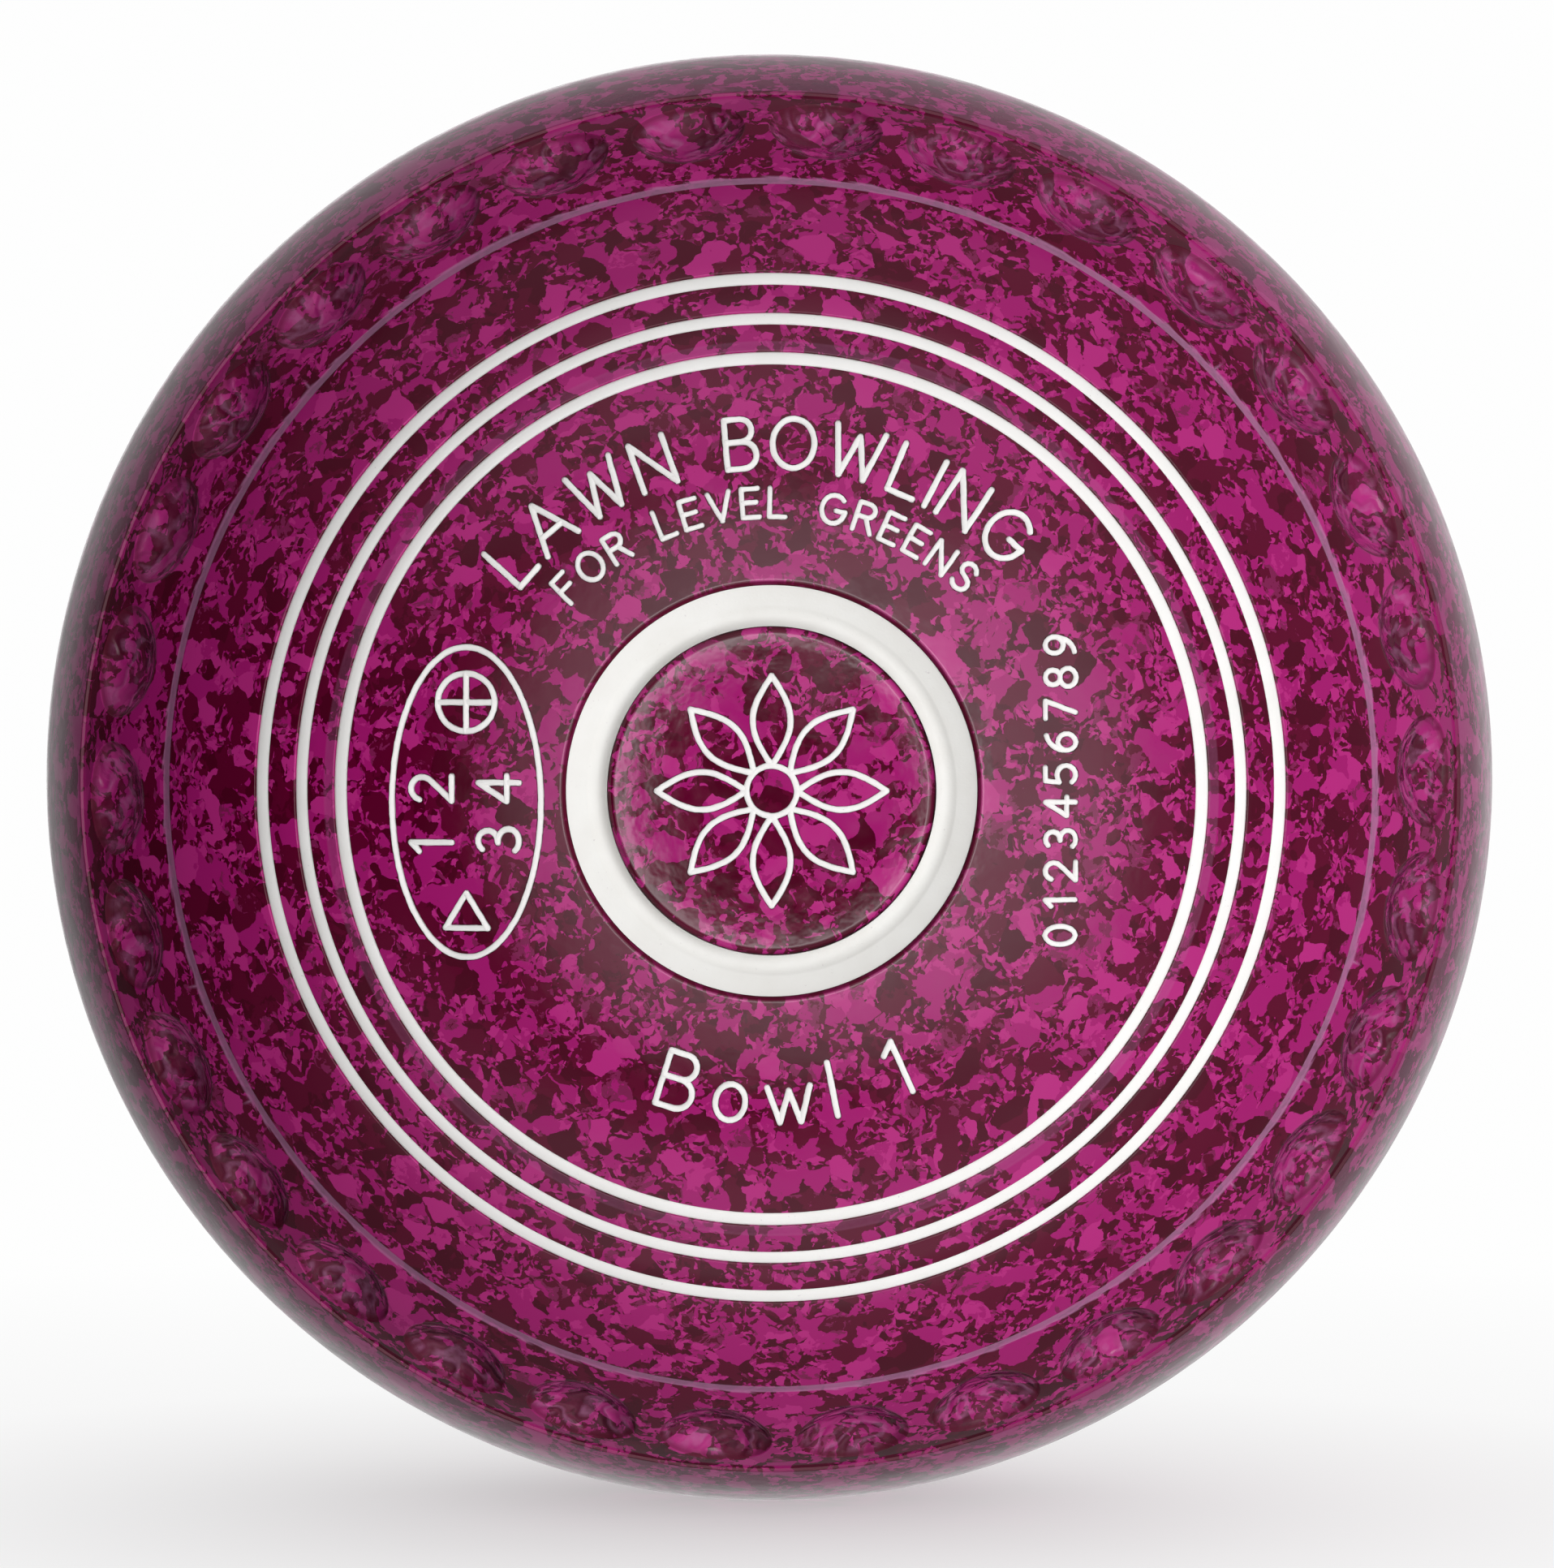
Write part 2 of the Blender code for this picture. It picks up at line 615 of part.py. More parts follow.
def build():
    clear_scene()
    parts = new_collection("lawn_bowl")
    cutters = new_collection("lawn_bowl_cutters")
    resin, paint = new_material(RESIN), new_material(PAINT)
    front = new_empty("front_frame", None, (0, -crown_offset(), 0), (math.pi / 2, 0, 0))
    back = new_empty("back_frame", front, (0, 0, 0), (0, math.pi, 0))
    ball = dimple_ball_mesh()
    for face, frame in ((FRONT, front), (BACK, back)):
        add_dimple_cutters(face, ball, frame, cutters)
        add_thin_paint_rings(face, frame, parts, paint)
        add_wide_paint_ring(face, frame, parts, paint)
    for mark in front_engravings():
        add_engraving(FRONT, mark, front, parts, cutters, paint)
    add_engraving(BACK, emblem(BACK), back, parts, cutters, paint)
    add_body(front, parts, cutters, resin)


build()
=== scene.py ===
"""The looks of a size 1 lawn bowl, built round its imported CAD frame.

The body is turned again at full detail: rounded lips, a domed centre disc, scooped dimples and
engraved channels. Each channel and ring groove holds its own paint. Lengths are in metres. Each
face is drawn in its own frame, where +Z points out of the face along the bowl's axis, +X is right
and +Y is up, and z = 0 is the crown plane, the plane of the bowl's largest circle.
"""

import math
from bisect import bisect
from collections import namedtuple
from functools import partial

import bmesh
import bpy
from mathutils import Matrix, Vector, kdtree, noise
from mathutils.geometry import delaunay_2d_cdt


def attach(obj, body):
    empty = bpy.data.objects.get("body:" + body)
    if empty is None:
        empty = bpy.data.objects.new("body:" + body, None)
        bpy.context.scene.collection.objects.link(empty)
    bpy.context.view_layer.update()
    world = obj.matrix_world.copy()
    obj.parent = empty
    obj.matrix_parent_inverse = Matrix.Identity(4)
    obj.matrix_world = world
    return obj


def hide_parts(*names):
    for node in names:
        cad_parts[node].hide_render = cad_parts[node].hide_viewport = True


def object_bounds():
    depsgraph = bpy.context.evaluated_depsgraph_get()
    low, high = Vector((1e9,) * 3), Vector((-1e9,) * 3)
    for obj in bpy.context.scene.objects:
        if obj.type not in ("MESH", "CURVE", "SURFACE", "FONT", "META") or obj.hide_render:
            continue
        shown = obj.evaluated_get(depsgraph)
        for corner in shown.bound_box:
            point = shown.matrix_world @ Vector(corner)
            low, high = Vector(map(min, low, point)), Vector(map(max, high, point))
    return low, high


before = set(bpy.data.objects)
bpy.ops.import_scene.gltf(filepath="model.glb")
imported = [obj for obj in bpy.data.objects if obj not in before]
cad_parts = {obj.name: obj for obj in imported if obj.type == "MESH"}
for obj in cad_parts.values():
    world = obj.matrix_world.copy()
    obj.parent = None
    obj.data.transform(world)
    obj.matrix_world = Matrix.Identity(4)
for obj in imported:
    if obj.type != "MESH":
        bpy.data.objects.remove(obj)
CAD_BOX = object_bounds()

MM = 0.001

# ---- the turned body, as in the CAD but for the chamfer, which is 0.1 mm narrower
BOWL_RADIUS = 58.5 * MM
FRONT_RISE = 50.3 * MM
BACK_RISE = 51.8 * MM
ROUNDNESS = 2.2
TURNED_STEPS = 300
ROUNDING_STEPS = 3
RUNNING_SEGMENTS = 14
WIDE_GROOVE_DEPTH = 1.5 * MM
THIN_GROOVE_DEPTH = 0.5 * MM
THIN_GROOVE_LIP = 0.07 * MM
THIN_RINGS = ((32.05 * MM, 33.1 * MM), (35.2 * MM, 36.2 * MM), (38.3 * MM, 39.35 * MM))
ENGRAVED_FIELD_END = THIN_RINGS[0][0] - 2 * THIN_GROOVE_LIP
LETTER_FIELD_EDGE = 33.75 * MM
LETTER_FIELD_STEP = 0.12 * MM
LETTER_FIELD_ROUNDING = 0.2 * MM
GRIP_BAND = (47.0 * MM, 54.1 * MM)
GRIP_BAND_DEPTHS = (0.45 * MM, 0.25 * MM)
GRIP_BAND_MARGINS = (0.15 * MM, 0.12 * MM)
GRIP_CHAMFER = 0.7 * MM
GRIP_CHAMFER_ROUNDINGS = (0.1 * MM, 0.07 * MM)
GRIP_STEP_ROUNDINGS = (0.03 * MM, 0.04 * MM)

# ---- the centre disc: a shallow dome that rolls over into the wide groove
DISC_BELOW_LIP = 0.08 * MM
DISC_CURVE_RADIUS = 170 * MM
DISC_ROLL_WIDTH = 0.62 * MM
DISC_ROLL_DROP = 0.5 * MM
DISC_ROLL_TURN = math.radians(84)
DISC_ROLL_STEPS = 6
LIP_ROUNDING = 0.4 * MM
LIP_MARGIN = 0.1 * MM
LIP_STEPS = 4

# ---- the scoops of the grip band
DIMPLES = 30
FIRST_DIMPLE_ANGLE = math.radians(85.2)
DIMPLE_REACH = (48.75 * MM, 53.45 * MM)
DIMPLE_HALF_WIDTH = 4.45 * MM
DIMPLE_EGG = 0.14
DIMPLE_DEPTH = 1.75 * MM
DIMPLE_LEAN = 0.3
DIMPLE_SIDE_STEPS = 10
BAND_TABLE_STEPS = 80
SCOOP_WAVE_HEIGHT = 0.12 * MM
SCOOP_WAVE_SIZE = 1.6 * MM
SCOOP_ONSET = 9
# The loops round a scoop, as shares of the way from its patch's rim to its edge.
DIMPLE_OUTER_LOOPS = (0.08, 0.5, 0.93)
# The loops in a scoop: the share of the way from its middle to its edge, and the painted shade
# there, a dark line just inside its rim.
DIMPLE_INNER_LOOPS = (
    (1.0, 0.0), (0.98, 0.6), (0.95, 0.62), (0.88, 0.2), (0.78, 0.0),
    (0.64, 0.0), (0.48, 0.0), (0.32, 0.0), (0.16, 0.0),
)

# ---- lettering: text, baseline radius, height, and its two end angles clockwise from the top
STROKE_WIDTH = 0.5 * MM
TITLE = ("LAWN BOWLING", 24.2 * MM, 3.75 * MM, -51, 46.5)
MOTTO = ("FOR LEVEL GREENS", 20.5 * MM, 2.15 * MM, -47, 43.8)
MOTTO_STROKE_WIDTH = 0.42 * MM
SIZE_MARK = ("Bowl", 25.0 * MM, 4.2 * MM, 200.5, 168.5)
SIZE_DIGIT = ("1", 25.0 * MM, 4.2 * MM, 157.0, 153.0)
SERIAL = "0123456789"
SERIAL_BASELINE = 22.8 * MM
SERIAL_HEIGHT = 2.3 * MM
SERIAL_SPAN = 24.2 * MM
SERIAL_STROKE_WIDTH = 0.85 * STROKE_WIDTH
STAMP_CENTRE = Vector((-22.9 * MM, -0.9 * MM))
STAMP_HALF_SIZE = Vector((5.65 * MM, 11.65 * MM))
STAMP_TEXT_HEIGHT = 3.1 * MM
STAMP_DIGITS = (("1", -1.1, -3.7), ("2", -1.1, 0.1), ("3", 4.0, -3.7), ("4", 4.0, 0.1))
EMBLEM_PETALS = 8
EMBLEM_HUB_SHARE = 0.22
EMBLEM_PETAL_BULGE = 0.165
PETAL_STEPS = 14
DEGREES_PER_ARC_STEP = 15
DEGREES_PER_OVAL_STEP = 5
SHARPEST_MITRE = 0.8

# ---- engraved channels and the beads of paint in them
CHANNEL_DEPTH = 0.45 * MM
CAP_STEPS = 6
FIELD_SPACING = 0.95 * MM
STROKE_KEEP_CLEAR = 0.6 * MM
BEAD_SPACING = 0.3 * MM
BEAD_SIDES = 10
BEAD_END_TURNS = (30, 58, 80)
BEAD_TOP_DEPTH = 0.06 * MM
BEAD_HALF_HEIGHT = 0.185 * MM
BEAD_SQUARENESS = 0.5
BEAD_JITTER = 0.03 * MM
BEAD_JITTER_SIZE = 0.5 * MM
BEAD_WIDTH_SEED = 1.3
BEAD_SHIFT_SEED = 7.7
BEAD_PAINTED_SHADE_FALL = 0.95
SAME_POINT = 0.001 * MM
MERGE_DISTANCE = 0.0006 * MM
SHARP_ANGLE = math.radians(38)

# ---- ring paint: sections as (share of the way across the groove, depth in mm)
PAINT_CLEARANCE = 0.02 * MM
THIN_PAINT_CLEARANCE = 0.015 * MM
WIDE_PAINT_SECTION = (
    (0, 0.4), (0.04, 0.62), (0.1, 0.82), (0.18, 0.95), (0.26, 0.98), (0.36, 0.93), (0.45, 0.82),
    (0.48, 0.76), (0.52, 0.72), (0.7, 0.6), (0.84, 0.49), (0.94, 0.4), (1.0, 0.36),
)
THIN_PAINT_SECTION = (
    (0, 0.2), (0.08, 0.12), (0.2, 0.085), (0.5, 0.075), (0.8, 0.085), (0.92, 0.12), (1, 0.2),
)

# ---- wear, painted haze and painted shade: each point of a skin has one level of each kind,
# which the materials read
WEAR_HAZE_AND_SHADE = ("scuff_and_haze", "scoop", "grime")
# Where handling has scuffed the polish, whose pale colour also paints the hazy sheen that these
# stretches mirror: the radii of each stretch, and how badly.
SCUFFED_AND_HAZED = (
    (33.12 * MM, 33.85 * MM, 0.3),
    (46.25 * MM, 47.05 * MM, 1.5),
    (54.2 * MM, 60.0 * MM, 0.4),
)
# Painted shade: a dark line round the wide ring's lip and in the grip band's step.
LIP_PAINTED_SHADE = 0.85
LIP_PAINTED_SHADE_WIDTH = 0.36 * MM
STEP_PAINTED_SHADE = (53.9 * MM, 54.2 * MM, 0.4)

# ---- colours
PALE_MAGENTA = (0.455, 0.02, 0.2)
MAGENTA = (0.36, 0.008, 0.152)
DUSKY = (0.21, 0.012, 0.08)
MAROON = (0.115, 0.0005, 0.024)
DEEP_MAROON = (0.082, 0.0003, 0.015)
CHIP_COLOURS = (
    (0.0, DEEP_MAROON), (0.2, MAROON), (0.51, DUSKY), (0.555, MAGENTA), (0.84, PALE_MAGENTA),
)
# Pale mauve of rubbed resin; it also paints reflected haze and the dimples' swirling reflections.
HAZY_SCUFFED_RESIN = (0.46, 0.17, 0.35)
# Chips by size: cells to the millimetre, and the share of them that covers the smaller chips.
CHIP_SIZES = ((2.6, 0.0), (1.2, 0.5), (0.56, 0.4))
SWIRL_TIGHTNESS = 26.0
# The ring whites are the line whites darkened: painted shade for paint down in the wide groove.
SHADED_RING_WHITES = ((0.79, 0.775, 0.745), (0.83, 0.82, 0.795))
LINE_WHITES = ((0.9, 0.885, 0.865), (0.94, 0.93, 0.915))
# Dark specks of dirt on the paint, and painted shade down the sides of its beads.
PAINT_DIRT_AND_SHADE = (0.42, 0.36, 0.4)

# ---- the camera and the stage
CAMERA_DISTANCE = 0.6
CAMERA_ELEVATION = math.radians(1.2)
CAMERA_AZIMUTH = math.radians(-0.2)
CAMERA_LENS_MM = 169.0
CAMERA_AIM = Vector((0.00062, 0, -0.00057))
FLOOR_RADIUS = 0.45
STAGE_RADIUS = 3.0
STAGE_HEIGHT = 3.0
STAGE_CURVE_RADIUS = 1.0
STAGE_CURVE_STEPS = 8
STAGE_STEPS = 96
STAGE_WHITE = 0.9
STAGE_GLOW = 0.99
# How much of the stage's look is even glow, by distance in metres from under the bowl.
GLOW_BY_DISTANCE = ((0.0, 0.4), (0.03, 0.6), (0.09, 0.87), (0.22, 1.0))

# ---- light. Each soft light: where it comes from, how tightly it is gathered, and its level.
BASE_LIGHT = 0.07
SOFT_LIGHTS = (
    ((0.42, -0.85, -0.08), 7.6, 4.0),
    ((0.3, 0.85, 0.3), 4, 2.2),
    ((0, 0, 1), 1, 0.4),
    ((0.2, -0.3, -1), 1, 0.5),
)
DARK_CENTRE = (0.023, -1, -0.023)
GLARE = (0.048, -1, 0.074)
GLARE_GATHERING = 2500
# What reflections see towards each side, as (degrees away from the dark centre, level) stops.
MIRRORED = (
    ((0, 0, 1), (
        (7.2, 0.0), (9.0, 0.6), (11, 4.0), (18, 4.0), (23, 1.2), (30, 1.1), (37, 0.3), (44, 0.4),
        (50, 0.62), (58, 0.46), (76, 0.25), (90, 0.26), (100, 0.1), (122, 0.1), (136, 0.14),
        (145, 0.25), (151, 0.28), (158, 0.4), (167, 0.45), (172, 1.5),
    )),
    ((1, 0, 0), (
        (7.2, 0.0), (9.0, 0.6), (11, 4.0), (18, 4.0), (23, 1.2), (38, 1.05), (48, 0.24), (60, 0.14),
        (90, 0.13), (122, 0.2), (136, 0.22), (145, 0.3), (151, 0.6), (158, 0.7), (167, 0.75), (172, 1.6),
    )),
    ((0, 0, -1), (
        (7.2, 0.0), (9.0, 0.5), (11, 3.6), (18, 3.6), (23, 1.1), (29, 0.85), (37, 0.06), (42, 0.15),
        (50, 0.4), (60, 0.54), (68, 0.52), (77, 0.3), (90, 0.18), (122, 0.15), (136, 0.22),
        (145, 0.3), (151, 0.62), (158, 0.62), (167, 0.85), (172, 1.6),
    )),
    ((-1, 0, 0), (
        (7.2, 0.0), (9.0, 0.5), (11, 3.6), (18, 3.6), (23, 1.0), (29, 0.66), (38, 0.06), (44, 0.0),
        (120, 0.01), (136, 0.03), (145, 0.22), (151, 0.32), (158, 0.37), (167, 0.36), (172, 1.5),
    )),
)

Face = namedtuple("Face", "name rise wide_ring emblem_radius")
FRONT = Face("front", FRONT_RISE, (12.3 * MM, 15.4 * MM), 8.6 * MM)
BACK = Face("back", BACK_RISE, (9.3 * MM, 12.4 * MM), 6.3 * MM)


# ---------------- the dome


def dome_height(face, radius):
    share = min(radius / BOWL_RADIUS, 1)
    return face.rise * (1 - share**ROUNDNESS) ** (1 / ROUNDNESS)


def dome_normal(face, radius):
    """The dome's outward normal in its half-plane, as (radial, axial)."""
    height = dome_height(face, radius)
    radial = radius ** (ROUNDNESS - 1) / BOWL_RADIUS**ROUNDNESS
    axial = height ** (ROUNDNESS - 1) / face.rise**ROUNDNESS
    return Vector((radial, axial)).normalized()


def on_dome(face, radius, depth=0.0):
    """The point at this depth under the dome, as (radius, height)."""
    surface = Vector((radius, dome_height(face, radius)))
    return surface - depth * dome_normal(face, radius)


def lip_height(face):
    return dome_height(face, face.wide_ring[1])


def disc_height(face, radius):
    """The centre disc is part of a large sphere."""
    return lip_height(face) - DISC_BELOW_LIP - radius**2 / (2 * DISC_CURVE_RADIUS)


def surfaces(face):
    """The heights of a face's centre disc and of its dome, as functions of the radius."""
    return partial(disc_height, face), partial(dome_height, face)


def crown_offset():
    return (lip_height(BACK) - lip_height(FRONT)) / 2


def into_world(face):
    """The matrix from a face's own frame to the bowl's, in which the front faces -Y."""
    front = Matrix.Translation((0, -crown_offset(), 0)) @ Matrix.Rotation(math.pi / 2, 4, "X")
    return front if face is FRONT else front @ Matrix.Rotation(math.pi, 4, "Y")


def first_turn_angle():
    """Every turned ring has a vertex on the line between two dimples."""
    return FIRST_DIMPLE_ANGLE - math.pi / DIMPLES


# ---------------- profiles


def rounded(corners):
    """A line through corners (across, down, cut, steps), rounding each one that has a cut.

    Steps is the number of segments that lead up to the corner, or to its rounding.
    """
    line = []
    for index, (across, down, cut, steps) in enumerate(corners):
        here = Vector((across, down))
        before, after = here, here
        if cut:
            before = here + cut * (Vector(corners[index - 1][:2]) - here).normalized()
            after = here + cut * (Vector(corners[index + 1][:2]) - here).normalized()
        if not line:
            line.append(here)
            continue
        start = line[-1]
        line += [start.lerp(before, step / steps) for step in range(1, steps + 1)]
        if cut:
            for step in range(1, ROUNDING_STEPS + 1):
                share = step / ROUNDING_STEPS
                line.append(before.lerp(here, share).lerp(here.lerp(after, share), share))
    return line


def centre_edges(face):
    """Where the disc ends and where the plain dome outside the wide groove starts."""
    inner, outer = face.wide_ring
    return inner - DISC_ROLL_WIDTH, outer + LIP_ROUNDING + LIP_MARGIN


def centre_profile(face):
    """From the disc's edge, over its roll, through the wide groove to the dome."""
    inner, outer = face.wide_ring
    disc_edge, dome_edge = centre_edges(face)
    top = disc_height(face, disc_edge)
    floor = lip_height(face) - WIDE_GROOVE_DEPTH
    roll = [Vector((disc_edge, top))]
    for step in range(1, DISC_ROLL_STEPS + 1):
        turn = DISC_ROLL_TURN * step / DISC_ROLL_STEPS
        across = disc_edge + DISC_ROLL_WIDTH * math.sin(turn)
        roll.append(Vector((across, top - DISC_ROLL_DROP * (1 - math.cos(turn)))))
    roll += [Vector((inner, floor)), Vector((outer, floor))]
    lip = [Vector((outer, lip_height(face) - LIP_ROUNDING))]
    corner, end = Vector((outer, lip_height(face))), on_dome(face, outer + LIP_ROUNDING)
    for step in range(1, LIP_STEPS + 1):
        share = step / LIP_STEPS
        lip.append(lip[0].lerp(corner, share).lerp(corner.lerp(end, share), share))
    return roll + lip + [on_dome(face, dome_edge)]


def ground_depth(ring):
    """How far the face lies under the dome at a thin ring: the first is inside the step."""
    return 0.0 if ring == THIN_RINGS[0] else LETTER_FIELD_STEP


def ring_field_profile(face):
    """From just inside the thin rings to the start of the grip band, as (radius, height)."""
    step, floor, lip = LETTER_FIELD_STEP, THIN_GROOVE_DEPTH, THIN_GROOVE_LIP
    top_rounding, foot_rounding = GRIP_CHAMFER_ROUNDINGS
    band_start = band_edges()[0]
    corners = [(ENGRAVED_FIELD_END, 0, 0, 1)]
    for ring in THIN_RINGS:
        ground = ground_depth(ring)
        corners += [
            (ring[0], ground, lip, 2 if ground else 1),
            (ring[0], ground + floor, 0, 1),
            (ring[1], ground + floor, 0, 1),
            (ring[1], ground, lip, 1),
        ]
        if not ground:
            corners.append((LETTER_FIELD_EDGE, step, LETTER_FIELD_ROUNDING, 1))
    corners += [
        (GRIP_BAND[0] - GRIP_CHAMFER, step, top_rounding, 7),
        (GRIP_BAND[0], GRIP_BAND_DEPTHS[0], foot_rounding, 2),
        (band_start, band_depth(band_start), 0, 1),
    ]
    return [on_dome(face, *point) for point in rounded(corners)]


def band_depth(radius):
    share = (radius - GRIP_BAND[0]) / (GRIP_BAND[1] - GRIP_BAND[0])
    return GRIP_BAND_DEPTHS[0] + share * (GRIP_BAND_DEPTHS[1] - GRIP_BAND_DEPTHS[0])


def band_edges():
    """The radii between which the dimple patches lie."""
    return GRIP_BAND[0] + GRIP_BAND_MARGINS[0], GRIP_BAND[1] - GRIP_BAND_MARGINS[1]


def running_profile(face):
    """From the outer edge of the grip band, up its step, and round to the crown."""
    start, step = band_edges()[1], GRIP_BAND[1]
    end = step + GRIP_BAND_MARGINS[1]
    foot_rounding, top_rounding = GRIP_STEP_ROUNDINGS
    corners = [
        (start, band_depth(start), 0, 1),
        (step, GRIP_BAND_DEPTHS[1], foot_rounding, 1),
        (step, 0, top_rounding, 1),
        (end, 0, 0, 1),
    ]
    points = [on_dome(face, *point) for point in rounded(corners)]
    exponent = 2 / ROUNDNESS
    first = math.asin((end / BOWL_RADIUS) ** (1 / exponent))
    for index in range(1, RUNNING_SEGMENTS + 1):
        turn = first + (math.pi / 2 - first) * index / RUNNING_SEGMENTS
        radius = BOWL_RADIUS * math.sin(turn) ** exponent
        points.append(Vector((radius, face.rise * max(math.cos(turn), 0) ** exponent)))
    return points


# ---------------- mesh helpers


def scuff_and_haze_level(radius):
    return sum(level for inner, outer, level in SCUFFED_AND_HAZED if inner < radius < outer)


def ring_of_points(radius, count, offset=0.0):
    angles = (offset + math.tau * step / count for step in range(count))
    return [Vector((radius * math.cos(a), radius * math.sin(a))) for a in angles]


def bands(rows):
    """The quads between neighbouring rows of point numbers, where each row is a closed loop."""
    quads = []
    for here, there in zip(rows, rows[1:]):
        for step in range(len(here)):
            ahead = (step + 1) % len(here)
            quads.append((here[step], here[ahead], there[ahead], there[step]))
    return quads


class Skin:
    """A mesh in the making: points, given in a face's own frame, and polygons between them.

    Each point has three levels: how scuffed it is, its pale colour partly a painted haze; how far
    inside a dimple it lies; and how much painted shade darkens it.
    """

    def __init__(self, face):
        self.matrix = into_world(face)
        self.points = []
        self.wear_haze_and_shade = []
        self.polygons = []

    def add(self, point, scuff_and_haze=0.0, scoop=0.0, grime=0.0):
        self.points.append(self.matrix @ Vector(point))
        self.wear_haze_and_shade.append((scuff_and_haze, scoop, grime))
        return len(self.points) - 1

    def turn(self, profile, closed=False, shaded_stretch=(0, 0, 0)):
        """Turns a profile of (radius, height) points once round the axis.

        The last argument is a stretch of painted shade, as its two radii and its level.
        """
        rows = []
        for radius, height in profile:
            grime = shaded_stretch[2] if shaded_stretch[0] < radius < shaded_stretch[1] else 0.0
            spots = ring_of_points(radius, TURNED_STEPS, first_turn_angle())
            rows.append([self.add((*spot, height), scuff_and_haze_level(radius), 0.0, grime) for spot in spots])
        self.polygons += bands(rows + rows[:1] if closed else rows)

    def mesh(self, name, merge=True):
        mesh = bpy.data.meshes.new(name)
        mesh.from_pydata(self.points, [], self.polygons)
        for index, kind in enumerate(WEAR_HAZE_AND_SHADE):
            levels = [wear_haze_and_shade[index] for wear_haze_and_shade in self.wear_haze_and_shade]
            mesh.attributes.new(kind, "FLOAT", "POINT").data.foreach_set("value", levels)
        shape = bmesh.new()
        shape.from_mesh(mesh)
        if merge:
            bmesh.ops.remove_doubles(shape, verts=shape.verts, dist=MERGE_DISTANCE)
            bmesh.ops.dissolve_degenerate(shape, edges=shape.edges, dist=SAME_POINT)
        loose = [vertex for vertex in shape.verts if not vertex.link_faces]
        bmesh.ops.delete(shape, geom=loose, context="VERTS")
        bmesh.ops.recalc_face_normals(shape, faces=shape.faces)
        shape.to_mesh(mesh)
        shape.free()
        mesh.shade_smooth()
        mesh.set_sharp_from_angle(angle=SHARP_ANGLE)
        return mesh


# ---------------- dimples


def path_lengths(points):
    """How far along a line each of its points lies."""
    lengths = [0.0]
    for before, after in zip(points, points[1:]):
        lengths.append(lengths[-1] + (after - before).length)
    return lengths


def band_lengths(face):
    """Radii across the grip band and how far each lies along the surface from the first."""
    start, end = band_edges()
    steps = BAND_TABLE_STEPS
    radii = [start + (end - start) * step / steps for step in range(steps + 1)]
    return radii, path_lengths([on_dome(face, radius, band_depth(radius)) for radius in radii])


def read_off(value, given, wanted):
    """Linear reading of a table of numbers or points against a rising one."""
    index = min(max(bisect(given, value), 1), len(given) - 1)
    share = (value - given[index - 1]) / (given[index] - given[index - 1])
    return wanted[index - 1] + share * (wanted[index] - wanted[index - 1])


def patch_rim(total):
    """Round the patch of one dimple: (length along the band, share of the half pitch)."""
    steps = DIMPLE_SIDE_STEPS
    ramp = [step / steps for step in range(steps)]
    rim = [(0.0, 2 * share - 1) for share in ramp]
    rim += [(total * share, 1.0) for share in ramp]
    rim += [(total, 1 - 2 * share) for share in ramp]
    rim += [(total * (1 - share), -1.0) for share in ramp]
    return rim


def scoop_depth(share, bearing, seed_point):
    """How far a dimple's floor lies under the band, at a share of the way to its edge."""
    bowl = 1 - share**2
    lean = 1 + DIMPLE_LEAN * share * math.cos(bearing)
    wave = SCOOP_WAVE_HEIGHT * noise.noise(seed_point / SCOOP_WAVE_SIZE)
    return DIMPLE_DEPTH * bowl * lean + wave * min(1, 3 * bowl)


def scoop_outline(tables):
    """A scoop's middle, as a length along the band, and a function for the egg round it.

    The function gives the length and turn at a bearing and a share of the way to the edge.
    """
    radii, lengths = tables
    near, far = (read_off(radius, radii, lengths) for radius in DIMPLE_REACH)
    middle, half_length = (near + far) / 2, (far - near) / 2

    def on_egg(bearing, share):
        length = middle + share * half_length * math.cos(bearing)
        half_width = DIMPLE_HALF_WIDTH * (1 + DIMPLE_EGG * share * math.cos(bearing))
        side = share * half_width * math.sin(bearing)
        return length, side / read_off(length, lengths, radii)

    return middle, on_egg


